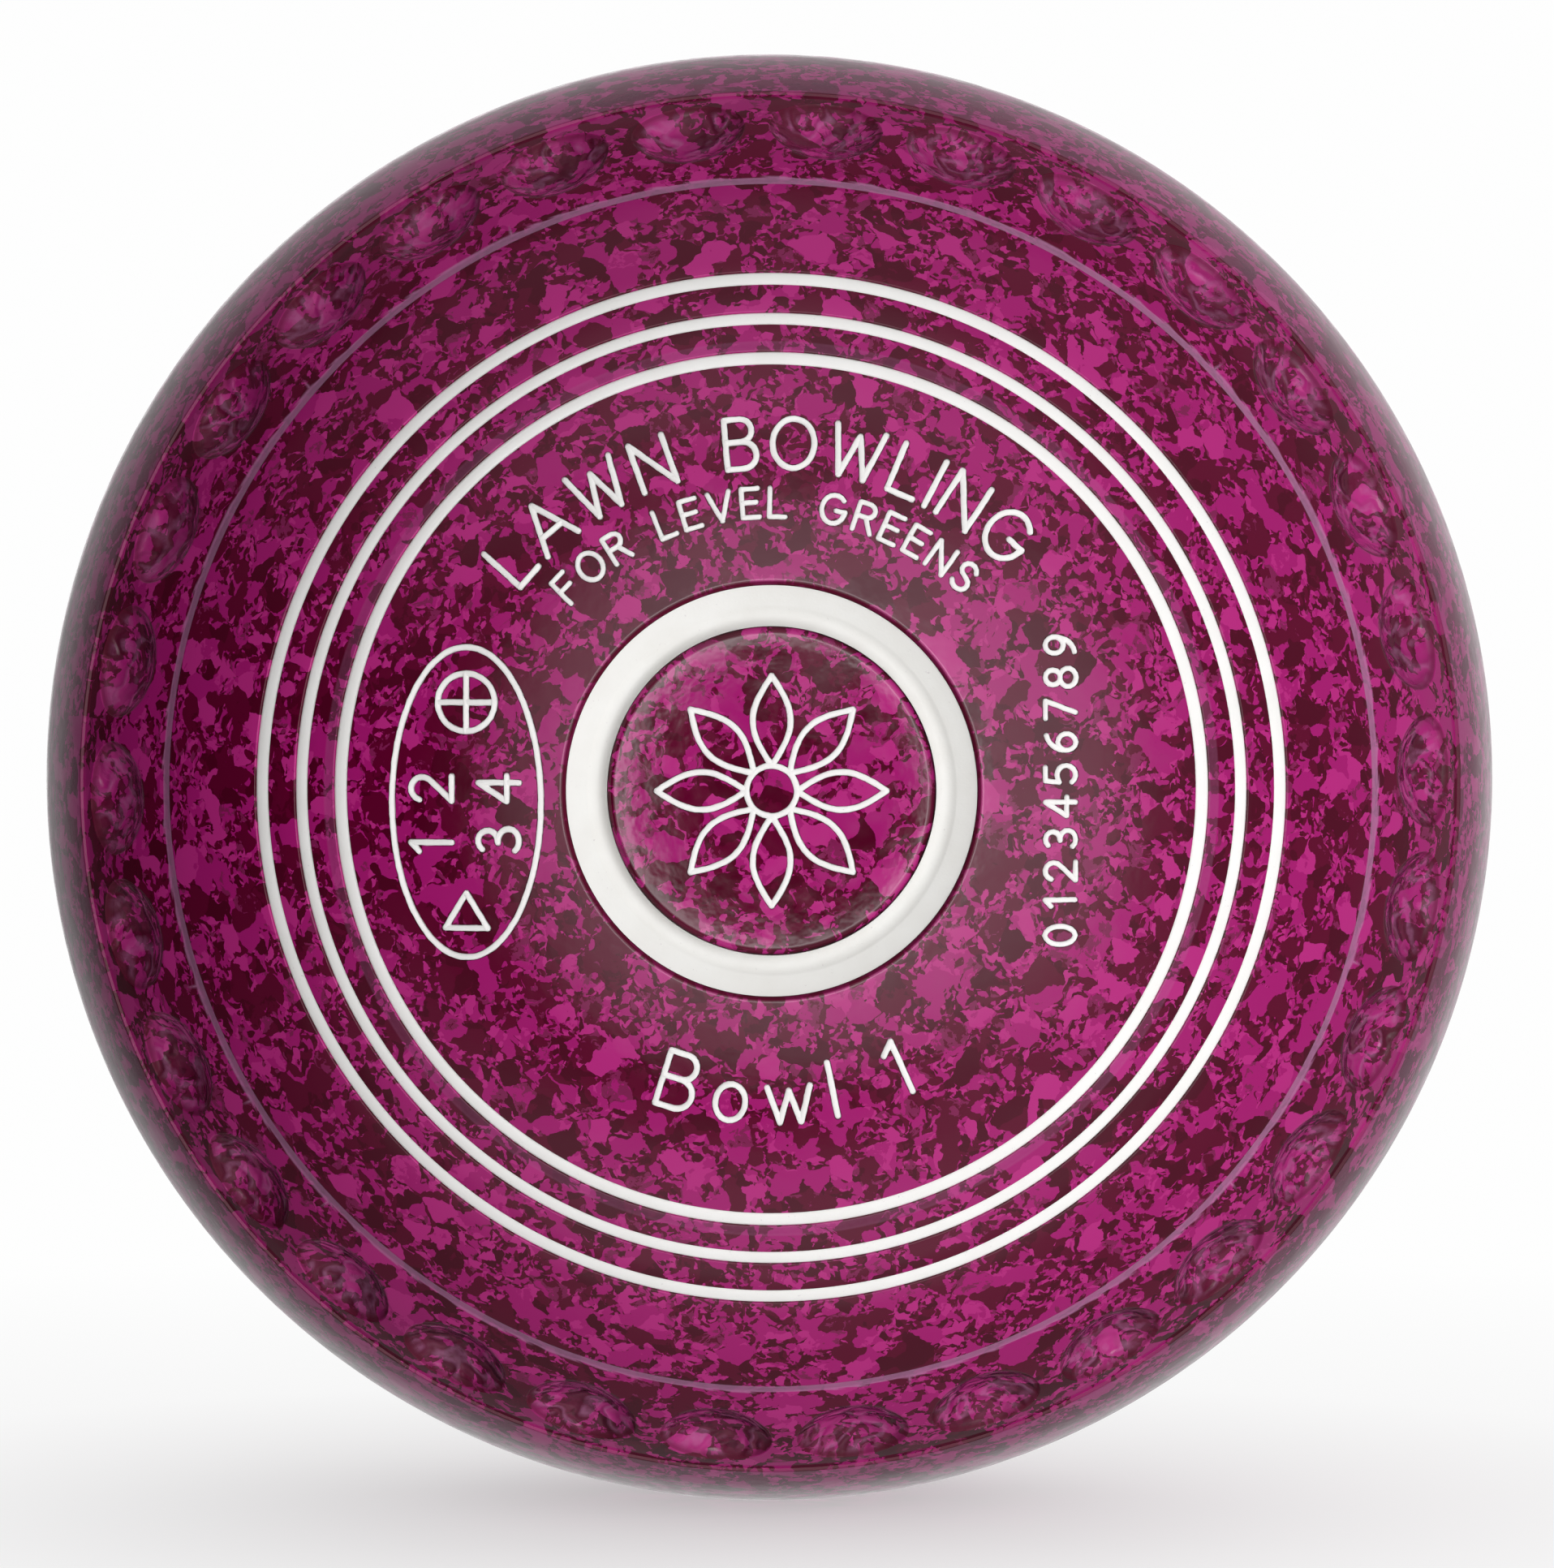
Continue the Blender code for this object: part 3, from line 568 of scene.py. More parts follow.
def add_dimple(skin, face, angle, tables):
    """One patch of the grip band with the scoop in its middle."""
    radii, lengths = tables
    middle, on_egg = scoop_outline(tables)
    half_pitch = math.pi / DIMPLES
    half_patch = half_pitch * read_off(middle, lengths, radii)
    rim = [(length, share * half_pitch) for length, share in patch_rim(lengths[-1])]
    bearings = [math.atan2(turn / half_pitch * half_patch, length - middle) for length, turn in rim]

    def place(length, turn, depth, scoop=0.0, grime=0.0):
        radius = read_off(length, lengths, radii)
        across, height = on_dome(face, radius, band_depth(radius) + depth)
        spot = (across * math.cos(angle + turn), across * math.sin(angle + turn), height)
        return skin.add(spot, 0.0, scoop, grime)

    rows = [[place(length, turn, 0) for length, turn in rim]]
    for share in DIMPLE_OUTER_LOOPS:
        row = []
        for (length, turn), bearing in zip(rim, bearings):
            egg_length, egg_turn = on_egg(bearing, 1)
            blend = (length + share * (egg_length - length), turn + share * (egg_turn - turn))
            row.append(place(*blend, 0))
        rows.append(row)
    # Just inside the rim, painted shade draws a dark line round the scoop.
    for share, grime in DIMPLE_INNER_LOOPS:
        scoop = min(1, SCOOP_ONSET * (1 - share))
        row = []
        for bearing in bearings:
            length, turn = on_egg(bearing, share)
            seed_point = Vector((length, turn * BOWL_RADIUS, angle))
            depth = scoop_depth(share, bearing, seed_point)
            row.append(place(length, turn, depth, scoop, grime))
        rows.append(row)
    skin.polygons += bands(rows)
    last = rows[-1]
    centre = place(middle, 0, scoop_depth(0, 0, Vector((middle, 0, angle))), 1.0)
    skin.polygons += [(here, ahead, centre) for here, ahead in zip(last, last[1:] + last[:1])]


def add_grip_band(skin, face):
    tables = band_lengths(face)
    for index in range(DIMPLES):
        add_dimple(skin, face, FIRST_DIMPLE_ANGLE + math.tau * index / DIMPLES, tables)


# ---------------- a single-stroke alphabet


def arc(x, y, x_radius, y_radius, start, end, step_size=DEGREES_PER_ARC_STEP):
    """Points on part of an ellipse, its angles in degrees anticlockwise from +X."""
    steps = max(1, round(abs(end - start) / step_size))
    angles = [math.radians(start + (end - start) * i / steps) for i in range(steps + 1)]
    return [(x + x_radius * math.cos(a), y + y_radius * math.sin(a)) for a in angles]


def loop(x, y, x_radius, y_radius, step_size=DEGREES_PER_ARC_STEP):
    """A whole ellipse, whose last point is its first, which marks a closed stroke."""
    points = arc(x, y, x_radius, y_radius, 90, 450, step_size)
    return points[:-1] + points[:1]


def half_turned(strokes, width):
    return [[(width - x, 1 - y) for x, y in stroke] for stroke in strokes]


TOP_OF_B = [(0.3, 1), *arc(0.32, 0.77, 0.22, 0.23, 80, -80), (0.3, 0.54)]
FOOT_OF_B = [(0.28, 0.54), *arc(0.34, 0.27, 0.26, 0.27, 85, -85), (0.3, 0), (0, 0)]
TOP_OF_R = [(0.34, 1), *arc(0.36, 0.76, 0.24, 0.24, 80, -80), (0.34, 0.52)]
SIX = [loop(0.3, 0.3, 0.27, 0.3), arc(0.62, 0.36, 0.585, 0.62, 100, 175)]

# Each character is its width and its strokes, on a capital height of 1.
ALPHABET = {
    " ": (0.5, []),
    "A": (0.8, [[(0, 0), (0.4, 1), (0.8, 0)], [(0.15, 0.35), (0.65, 0.35)]]),
    "B": (0.6, [[(0, 0), (0, 1), *TOP_OF_B, (0, 0.54)], FOOT_OF_B]),
    "E": (0.58, [[(0.58, 1), (0, 1), (0, 0), (0.58, 0)], [(0, 0.52), (0.5, 0.52)]]),
    "F": (0.58, [[(0.58, 1), (0, 1), (0, 0)], [(0, 0.54), (0.48, 0.54)]]),
    "G": (0.84, [[*arc(0.42, 0.5, 0.42, 0.5, 45, 330), (0.84, 0.46), (0.5, 0.46)]]),
    "I": (0.0, [[(0, 0), (0, 1)]]),
    "L": (0.55, [[(0, 1), (0, 0), (0.55, 0)]]),
    "N": (0.7, [[(0, 0), (0, 1), (0.7, 0), (0.7, 1)]]),
    "O": (0.84, [loop(0.42, 0.5, 0.42, 0.5)]),
    "R": (0.64, [[(0, 0), (0, 1), *TOP_OF_R, (0, 0.52)], [(0.34, 0.52), (0.64, 0)]]),
    "S": (0.6, [[*arc(0.3, 0.75, 0.27, 0.25, 20, 230), *arc(0.3, 0.26, 0.3, 0.26, 50, -155)]]),
    "V": (0.76, [[(0, 1), (0.38, 0), (0.76, 1)]]),
    "W": (1.0, [[(0, 1), (0.25, 0), (0.5, 0.85), (0.75, 0), (1, 1)]]),
    "o": (0.54, [loop(0.27, 0.33, 0.27, 0.33)]),
    "w": (0.76, [[(0, 0.66), (0.19, 0), (0.38, 0.58), (0.57, 0), (0.76, 0.66)]]),
    "l": (0.0, [[(0, 0), (0, 1)]]),
    "0": (0.6, [loop(0.3, 0.5, 0.3, 0.5)]),
    "1": (0.22, [[(0, 0.8), (0.22, 1), (0.22, 0)]]),
    "2": (0.6, [[*arc(0.3, 0.72, 0.28, 0.28, 165, -35), (0, 0), (0.6, 0)]]),
    "3": (0.56, [arc(0.27, 0.76, 0.25, 0.24, 145, -95), arc(0.27, 0.26, 0.29, 0.26, 100, -145)]),
    "4": (0.6, [[(0.45, 0), (0.45, 1), (0, 0.3), (0.62, 0.3)]]),
    "5": (0.58, [[(0.52, 1), (0.08, 1), (0.03, 0.54), *arc(0.28, 0.31, 0.3, 0.31, 105, -145)]]),
    "6": (0.6, SIX),
    "7": (0.58, [[(0, 1), (0.58, 1), (0.2, 0)]]),
    "8": (0.6, [loop(0.3, 0.75, 0.24, 0.25), loop(0.3, 0.25, 0.3, 0.27)]),
    "9": (0.6, half_turned(SIX, 0.6)),
}

# The stamp's two plain marks: name, strokes, and how far each lies above the stamp's middle.
STAMP_MARKS = (
    ("circle_mark", [loop(0, 0, 0.7, 0.7), [(-0.7, 0), (0.7, 0)], [(0, -0.7), (0, 0.7)]], 7.5),
    ("triangle_mark", [[(0, 0.45), (-0.52, -0.4), (0.52, -0.4), (0, 0.45)]], -8.2),
)

# A piece of engraving: its name, the CAD node that it stands for or None, its strokes and
# their width.
Engraving = namedtuple("Engraving", "name node strokes width")


def placed(strokes, size, origin, turn):
    """Strokes scaled to this size, turned anticlockwise by this angle, and moved to origin."""
    spin = Matrix.Rotation(turn, 2)
    return [[origin + spin @ (size * Vector(point)) for point in stroke] for stroke in strokes]


def marked(name, strokes, width=STROKE_WIDTH, in_cad=True):
    return Engraving("paint_" + name, name if in_cad else None, strokes, width)


def arc_lettering(line, prefix, width=STROKE_WIDTH, in_cad=True):
    """Lettering on an arc about the face's centre, its ends at the two angles given.

    Angles that fall make the text run anticlockwise, upright along the foot of the face.
    """
    text, baseline, height, start, end = line
    under = end < start
    widths = [ALPHABET[char][0] for char in text]
    arc_length = abs(math.radians(end - start)) * baseline
    gap = (arc_length - height * sum(widths)) / max(1, len(text) - 1)
    travelled = 0.0
    made = []
    for index, (char, share) in enumerate(zip(text, widths)):
        middle = travelled + share * height / 2
        travelled += share * height + gap
        if char == " ":
            continue
        turn = math.radians(start) + math.copysign(middle / baseline, end - start)
        upright = math.pi - turn if under else -turn
        foot = baseline * Vector((math.sin(turn), math.cos(turn)))
        origin = foot - Matrix.Rotation(upright, 2) @ Vector((share * height / 2, 0))
        strokes = placed(ALPHABET[char][1], height, origin, upright)
        made.append(marked(f"{prefix}_{index + 1:02d}_{char}", strokes, width, in_cad))
    return made


def serial_lettering():
    """A straight row at the right of the face, read from the bottom up."""
    pitch = SERIAL_SPAN / len(SERIAL)
    made = []
    for index, char in enumerate(SERIAL):
        width, strokes = ALPHABET[char]
        middle = (index + 0.5) * pitch - SERIAL_SPAN / 2
        origin = Vector((SERIAL_BASELINE, middle - width * SERIAL_HEIGHT / 2))
        drawn = placed(strokes, SERIAL_HEIGHT, origin, math.pi / 2)
        made.append(marked(f"serial_digit_{char}", drawn, SERIAL_STROKE_WIDTH))
    return made


def stamp_lettering():
    """An upright oval round two rows of digits, read from the bottom up, and two plain marks."""
    oval = loop(0, 0, *STAMP_HALF_SIZE, DEGREES_PER_OVAL_STEP)
    made = [marked("stamp_oval", placed([oval], 1, STAMP_CENTRE, 0))]
    for char, right, up in STAMP_DIGITS:
        origin = STAMP_CENTRE + Vector((right, up)) * MM
        drawn = placed(ALPHABET[char][1], STAMP_TEXT_HEIGHT, origin, math.pi / 2)
        made.append(marked(f"stamp_digit_{char}", drawn))
    for name, strokes, up in STAMP_MARKS:
        drawn = placed(strokes, STAMP_TEXT_HEIGHT, STAMP_CENTRE + Vector((0, up * MM)), 0)
        made.append(marked(f"stamp_{name}", drawn))
    return made


def petal_side(bearing, hub, reach, bulge):
    """A bowed line from the hub to a petal's tip, at this bearing in radians."""
    spin = Matrix.Rotation(bearing, 2)
    points = []
    for step in range(PETAL_STEPS + 1):
        share = step / PETAL_STEPS
        along = hub + share * (reach - hub)
        points.append(spin @ Vector((along, bulge * math.sin(math.pi * share))))
    return points


def emblem(face):
    """A plain flower: pointed petals round a small hub ring."""
    reach = face.emblem_radius
    hub = EMBLEM_HUB_SHARE * reach
    bulge = EMBLEM_PETAL_BULGE * reach
    strokes = placed([loop(0, 0, hub, hub)], 1, Vector((0, 0)), 0)
    for petal in range(EMBLEM_PETALS):
        bearing = math.tau * petal / EMBLEM_PETALS
        strokes.append(petal_side(bearing, hub, reach, bulge))
        strokes.append(petal_side(bearing, hub, reach, -bulge))
    return marked(f"{face.name}_emblem_flower", strokes)


def field_marks(face):
    """What is engraved between the wide ring and the thin rings."""
    if face is BACK:
        return []
    title = arc_lettering(TITLE, "title_letter")
    motto = arc_lettering(MOTTO, "motto_letter", MOTTO_STROKE_WIDTH, in_cad=False)
    size = arc_lettering(SIZE_MARK, "size_letter") + arc_lettering(SIZE_DIGIT, "size_digit")
    return title + motto + size + serial_lettering() + stamp_lettering()


# ---------------- engraved channels


def span_directions(points, closed):
    """The direction of each span of a stroke, with one more for the span that closes it."""
    following = points[1:] + points[:1] if closed else points[1:]
    return [(b - a).normalized() for a, b in zip(points, following)]


def is_sharp(before, after):
    """Whether the turn between two spans is too sharp to be mitred."""
    return math.sqrt(max(0, (1 + before.dot(after)) / 2)) < SHARPEST_MITRE


def stroke_runs(stroke):
    """A stroke as (points, closed) runs, cut at its sharp corners."""
    points = [point for index, point in enumerate(stroke) if not index or point != stroke[index - 1]]
    directions = span_directions(points, False)
    if points[0] == points[-1] and not is_sharp(directions[-1], directions[0]):
        return [(points[:-1], True)]
    runs = [[points[0]]]
    for index in range(1, len(points) - 1):
        runs[-1].append(points[index])
        if is_sharp(directions[index - 1], directions[index]):
            runs.append([points[index]])
    runs[-1].append(points[-1])
    return [(run, False) for run in runs]


def run_sides(points, closed):
    """For each point of a run, the mitred sideways vector that one half width is scaled by."""
    directions = span_directions(points, closed)
    sides = []
    for index in range(len(points)):
        arriving = directions[index - 1] if closed or index else directions[0]
        leaving = directions[index] if index < len(directions) else directions[-1]
        mitre = (arriving + leaving).normalized()
        sides.append(Vector((-mitre.y, mitre.x)) / mitre.dot(leaving))
    return sides, directions


def mark_runs(mark):
    return [run for stroke in mark.strokes for run in stroke_runs(stroke)]


def resampled(points, closed):
    """A run with its points evenly spaced, about one bead spacing apart."""
    ring = points + points[:1] if closed else points
    lengths = path_lengths(ring)
    count = max(2, round(lengths[-1] / BEAD_SPACING))
    wanted = [lengths[-1] * step / count for step in range(count if closed else count + 1)]
    return [read_off(length, lengths, ring) for length in wanted]


def run_polygons(points, closed, half_width):
    """The polygons that cover one run of a stroke: a quad per span and a round cap per end."""
    sides, directions = run_sides(points, closed)
    reaches = [half_width * side for side in sides]
    edges = [(point + reach, point - reach) for point, reach in zip(points, reaches)]
    following = edges[1:] + edges[:1] if closed else edges[1:]
    polygons = [[b[1], d[1], d[0], b[0]] for b, d in zip(edges, following)]
    if not closed:
        for point, direction in ((points[0], -directions[0]), (points[-1], directions[-1])):
            across = Vector((direction.y, -direction.x))
            cap = []
            for step in range(CAP_STEPS + 1):
                turn = math.pi * step / CAP_STEPS
                arm = math.cos(turn) * across + math.sin(turn) * direction
                cap.append(point + half_width * arm)
            polygons.append(cap)
    return polygons


def channel_polygons(marks):
    """The flat polygons, some overlapping, that together cover the channels of these marks."""
    polygons = []
    for mark in marks:
        for points, closed in mark_runs(mark):
            polygons += run_polygons(points, closed, mark.width / 2 + PAINT_CLEARANCE)
    return polygons


def flat_tree(spots):
    """Flat spots, laid out so that the ones near a place are found fast."""
    tree = kdtree.KDTree(len(spots))
    for index, spot in enumerate(spots):
        tree.insert((*spot, 0), index)
    tree.balance()
    return tree


def inside(polygon, spot):
    """Whether a spot lies in a convex polygon whose corners run anticlockwise."""
    return all((b - a).cross(spot - a) >= 0 for a, b in zip(polygon, polygon[1:] + polygon[:1]))


def covered(spots, polygons):
    """The indices of the spots that lie in any of these polygons."""
    tree = flat_tree(spots)
    found = set()
    for polygon in polygons:
        centre = sum(polygon, Vector((0, 0))) / len(polygon)
        reach = max((corner - centre).length for corner in polygon)
        for _, index, _ in tree.find_range((*centre, 0), reach):
            if inside(polygon, spots[index]):
                found.add(index)
    return found


def field_samples(inner, outer, marks):
    """Points spread over a stretch of the face, clear of its rims and of the strokes."""
    centres = [point for mark in marks for run in mark_runs(mark) for point in resampled(*run)]
    tree = flat_tree(centres)
    rings = max(1, round((outer - inner) / FIELD_SPACING))
    samples = [] if inner else [Vector((0, 0))]
    for ring in range(1, rings):
        radius = inner + (outer - inner) * ring / rings
        count = max(6, round(math.tau * radius / FIELD_SPACING))
        samples += ring_of_points(radius, count, 0.5 * ring)
    if not centres:
        return samples
    return [point for point in samples if tree.find((*point, 0))[2] > STROKE_KEEP_CLEAR]


def field_plan(edges, marks):
    """A flat plan of a stretch between two radii: its points, and its triangles in two lists.

    The first list is the land at the level of the face, the second the floors of the channels.
    """
    inner, outer = edges
    polygons = channel_polygons(marks)
    rims = [ring_of_points(edge, TURNED_STEPS, first_turn_angle()) for edge in edges if edge]
    points, lines = [], []
    for outline in rims + polygons:
        start, count = len(points), len(outline)
        points += outline
        lines += [(start + i, start + (i + 1) % count) for i in range(count)]
    points += field_samples(inner, outer, marks)
    made = delaunay_2d_cdt(points, lines, [], 0, SAME_POINT)
    middles = [sum((made[0][i] for i in triangle), Vector((0, 0))) / 3 for triangle in made[2]]
    # Triangles nearer the axis than this only fill the hole inside the inner rim.
    hole = inner * math.cos(math.pi / TURNED_STEPS)
    sunk = covered(middles, polygons)
    land, channel = [], []
    for index, triangle in enumerate(made[2]):
        if middles[index].length >= hole:
            (channel if index in sunk else land).append(triangle)
    return made[0], land, channel


def add_engraved_field(skin, height_at, edges, marks):
    """A stretch of the face between two radii, the first of them 0 for a disc, with channels."""
    points, land, channel = field_plan(edges, marks)
    levels = {}

    def at(index, depth):
        if (index, depth) not in levels:
            point = points[index]
            levels[index, depth] = skin.add((*point, height_at(point.length) - depth))
        return levels[index, depth]

    land_edges = set()
    for triangle in land:
        skin.polygons.append(tuple(at(i, 0) for i in triangle))
        land_edges |= {frozenset(edge) for edge in zip(triangle, triangle[1:] + triangle[:1])}
    for triangle in channel:
        skin.polygons.append(tuple(at(i, CHANNEL_DEPTH) for i in triangle))
        for a, b in zip(triangle, triangle[1:] + triangle[:1]):
            if frozenset((a, b)) in land_edges:
                wall = (at(b, CHANNEL_DEPTH), at(a, CHANNEL_DEPTH), at(a, 0), at(b, 0))
                skin.polygons.append(wall)


# ---------------- the body


def add_half(skin, face):
    """One half of the body, from the centre of its face to the crown."""
    disc, dome = surfaces(face)
    disc_edge, dome_edge = centre_edges(face)
    lip = face.wide_ring[1]
    add_engraved_field(skin, disc, (0, disc_edge), [emblem(face)])
    # Painted shade: a dark line round the wide ring's outer lip.
    skin.turn(centre_profile(face), shaded_stretch=(lip - SAME_POINT, lip + LIP_PAINTED_SHADE_WIDTH, LIP_PAINTED_SHADE))
    add_engraved_field(skin, dome, (dome_edge, ENGRAVED_FIELD_END), field_marks(face))
    skin.turn(ring_field_profile(face))
    add_grip_band(skin, face)
    # Painted shade in the grip band's outer step.
    skin.turn(running_profile(face), shaded_stretch=STEP_PAINTED_SHADE)


def body_piece(material):
    skin = Skin(FRONT)
    for face in (FRONT, BACK):
        skin.matrix = into_world(face)
        add_half(skin, face)
    new_piece("speckled_body", skin.mesh("speckled_body"), material, ["bowl_body"])


def new_piece(name, mesh, material, nodes):
    """A piece that rides on the bowl and stands for these CAD nodes."""
    piece = bpy.data.objects.new(name, mesh)
    bpy.context.scene.collection.objects.link(piece)
    mesh.materials.append(material)
    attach(piece, "root")
    if nodes:
        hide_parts(*nodes)


# ---------------- paint


def paint_profile(place, inner, outer, section, floor):
    """A ring of paint: its top by a table, then its underside at the depth of the floor."""
    top = [place(inner + share * (outer - inner), depth * MM) for share, depth in section]
    return top + [place(outer, floor), place(inner, floor)]


def wide_paint_profile(face):
    """Steep inside, lowest a quarter of the way out, then rising gently to its outer edge."""
    inner, outer = face.wide_ring[0] + PAINT_CLEARANCE, face.wide_ring[1] - PAINT_CLEARANCE

    def place(radius, depth):
        return Vector((radius, lip_height(face) - depth))

    floor = WIDE_GROOVE_DEPTH - PAINT_CLEARANCE
    return paint_profile(place, inner, outer, WIDE_PAINT_SECTION, floor)


def thin_paint_profile(face, ring):
    """Nearly flat, with shoulders that fall away beside the walls of a thin groove."""
    inner, outer = ring[0] + THIN_PAINT_CLEARANCE, ring[1] - THIN_PAINT_CLEARANCE

    def place(radius, depth):
        return on_dome(face, radius, ground_depth(ring) + depth)

    floor = THIN_GROOVE_DEPTH - PAINT_CLEARANCE
    return paint_profile(place, inner, outer, THIN_PAINT_SECTION, floor)


def turned_paint(face, name, profile, material):
    skin = Skin(face)
    skin.turn(profile, closed=True)
    new_piece("paint_" + name, skin.mesh(name), material, [name])


def wobble(point, seed):
    return noise.noise(Vector((point.x, point.y, seed * BEAD_JITTER_SIZE)) / BEAD_JITTER_SIZE)


def bead_stations(points, closed, half_width):
    """Where the bead's rings stand: (centre, sideways vector, share of the full section)."""
    points = resampled(points, closed)
    sides, directions = run_sides(points, closed)
    stations = []
    for point, side in zip(points, sides):
        width = half_width + BEAD_JITTER * wobble(point, BEAD_WIDTH_SEED)
        shift = BEAD_JITTER * wobble(point, BEAD_SHIFT_SEED) * side.normalized()
        stations.append((point + shift, side * width, 1.0))
    if closed:
        return stations
    ends = []
    for (point, side, _), direction in ((stations[0], -directions[0]), (stations[-1], directions[-1])):
        cap = []
        for turn in BEAD_END_TURNS:
            share = math.cos(math.radians(turn))
            along = math.sin(math.radians(turn)) * half_width
            cap.append((point + along * direction, side * share, share))
        ends.append(cap)
    return ends[0][::-1] + stations + ends[1]


def squared(share):
    """Pushes a sine or cosine outwards, which squares off the section that it draws."""
    return math.copysign(abs(share) ** BEAD_SQUARENESS, share)


def add_bead(skin, points, closed, half_width, height_at):
    """Paint along one run of a stroke: nearly flat on top, with rounded shoulders."""
    rows = []
    for point, side, share in bead_stations(points, closed, half_width):
        top = height_at(point.length) - BEAD_TOP_DEPTH
        row = []
        for step in range(BEAD_SIDES):
            turn = math.tau * step / BEAD_SIDES
            across, up = squared(math.cos(turn)), squared(math.sin(turn))
            rise = BEAD_HALF_HEIGHT * (share * up - 1)
            # Painted shade: darker down the bead's sides and underneath, its top left nearly clean.
            grime = min(1, max(0, 1 - BEAD_PAINTED_SHADE_FALL * up))
            row.append(skin.add((*(point + across * side), top + rise), grime=grime))
        rows.append(row)
    skin.polygons += bands(rows + rows[:1] if closed else rows)
    if not closed:
        skin.polygons += [tuple(rows[0]), tuple(reversed(rows[-1]))]


def painted_mark(face, mark, height_at, material):
    skin = Skin(face)
    for points, closed in mark_runs(mark):
        add_bead(skin, points, closed, mark.width / 2, height_at)
    mesh = skin.mesh(mark.name, merge=False)
    new_piece(mark.name, mesh, material, [mark.node] if mark.node else [])


def paint_pieces(face, shaded_ring_paint, line_paint):
    disc, dome = surfaces(face)
    turned_paint(face, f"{face.name}_wide_ring", wide_paint_profile(face), shaded_ring_paint)
    for name, ring in zip(("inner", "middle", "outer"), THIN_RINGS):
        profile = thin_paint_profile(face, ring)
        turned_paint(face, f"{face.name}_thin_ring_{name}", profile, line_paint)
    painted_mark(face, emblem(face), disc, line_paint)
    for mark in field_marks(face):
        painted_mark(face, mark, dome, line_paint)


# ---------------- materials


def as_colour(value):
    """A grey level or a colour as RGBA. A socket stays as it is."""
    if isinstance(value, bpy.types.NodeSocket):
        return value
    return (*value, 1.0) if isinstance(value, tuple) else (value, value, value, 1.0)


class Nodes:
    """Makes and links shader nodes in one tree."""

    def __init__(self, tree):
        self.tree = tree

    def feed(self, node, inputs):
        """Links or sets a node's inputs, given by name or number."""
        for name, value in inputs.items():
            if isinstance(value, bpy.types.NodeSocket):
                self.tree.links.new(value, node.inputs[name])
            else:
                node.inputs[name].default_value = value

    def new(self, kind, inputs=None, **settings):
        node = self.tree.nodes.new("ShaderNode" + kind)
        for name, value in settings.items():
            setattr(node, name, value)
        self.feed(node, inputs or {})
        return node

    def math(self, operation, a, b=0.0):
        return self.new("Math", {0: a, 1: b}, operation=operation).outputs[0]

    def vector(self, operation, a, b):
        node = self.new("VectorMath", {0: a, 1: b}, operation=operation)
        return node.outputs["Value" if operation == "DOT_PRODUCT" else "Vector"]

    def noise(self, vector, scale, detail=2.0, roughness=0.5, output="Fac"):
        inputs = {"Vector": vector, "Scale": scale, "Detail": detail, "Roughness": roughness}
        return self.new("TexNoise", inputs).outputs[output]

    def ramp(self, value, stops, interpolation="LINEAR"):
        node = self.new("ValToRGB", {"Fac": value})
        node.color_ramp.interpolation = interpolation
        elements = node.color_ramp.elements
        while len(elements) > 1:
            elements.remove(elements[-1])
        elements[0].position, elements[0].color = stops[0][0], as_colour(stops[0][1])
        for position, colour in stops[1:]:
            elements.new(position).color = as_colour(colour)
        return node.outputs["Color"]

    def mix(self, share, a, b):
        node = self.new("Mix", data_type="RGBA")
        self.feed(node, {0: share, 6: as_colour(a), 7: as_colour(b)})
        return node.outputs[2]

    def warp(self, vector, scale, amount, detail=2.0):
        """The vector pushed about by noise of this scale, by up to about half this amount."""
        push = self.noise(vector, scale, detail, output="Color")
        centred = self.vector("SUBTRACT", push, (0.5, 0.5, 0.5))
        scaled = self.vector("MULTIPLY", centred, (amount, amount, amount))
        return self.vector("ADD", vector, scaled)

    def bump(self, height, strength, distance):
        inputs = {"Height": height, "Strength": strength, "Distance": distance}
        return self.new("Bump", inputs).outputs["Normal"]

    def wear_haze_and_shade(self, kind):
        return self.new("Attribute", attribute_name=kind).outputs["Fac"]

    def millimetres(self):
        """The place on the object, in millimetres."""
        place = self.new("TexCoord").outputs["Object"]
        return self.vector("MULTIPLY", place, (1000, 1000, 1000))


def new_material(name):
    material = bpy.data.materials.new(name)
    material.use_nodes = True
    return material, Nodes(material.node_tree), material.node_tree.nodes["Principled BSDF"]


def chips(nodes, mm):
    """A number from 0 to 1 for each chip of the speckle: some large chips, some broken small."""
    jagged = nodes.warp(nodes.warp(mm, 0.4, 2.0), 2.0, 0.55, 3.0)
    pick = None
    for scale, whole in CHIP_SIZES:
        cell = nodes.new("TexVoronoi", {"Vector": jagged, "Scale": scale}).outputs["Color"]
        channels = nodes.new("SeparateColor", {0: cell}).outputs
        if pick is None:
            pick = channels[0]
            continue
        is_whole = nodes.math("LESS_THAN", channels[1], whole)
        pick = nodes.mix(is_whole, pick, channels[0])
    grain = nodes.noise(jagged, 0.9, 4.0, 0.6)
    lift = nodes.math("MULTIPLY", nodes.math("SUBTRACT", grain, 0.5), 0.42)
    return nodes.math("ADD", pick, lift)


def swirls(nodes, mm):
    """The contour lines of a smooth hill: the flowing ripples left in a scooped dimple. They bump
    the surface and pattern the dimple's painted reflection.
    """
    hill = nodes.noise(nodes.warp(mm, 0.3, 2.0), 0.32, 1.0)
    return nodes.math("SINE", nodes.math("MULTIPLY", hill, SWIRL_TIGHTNESS))


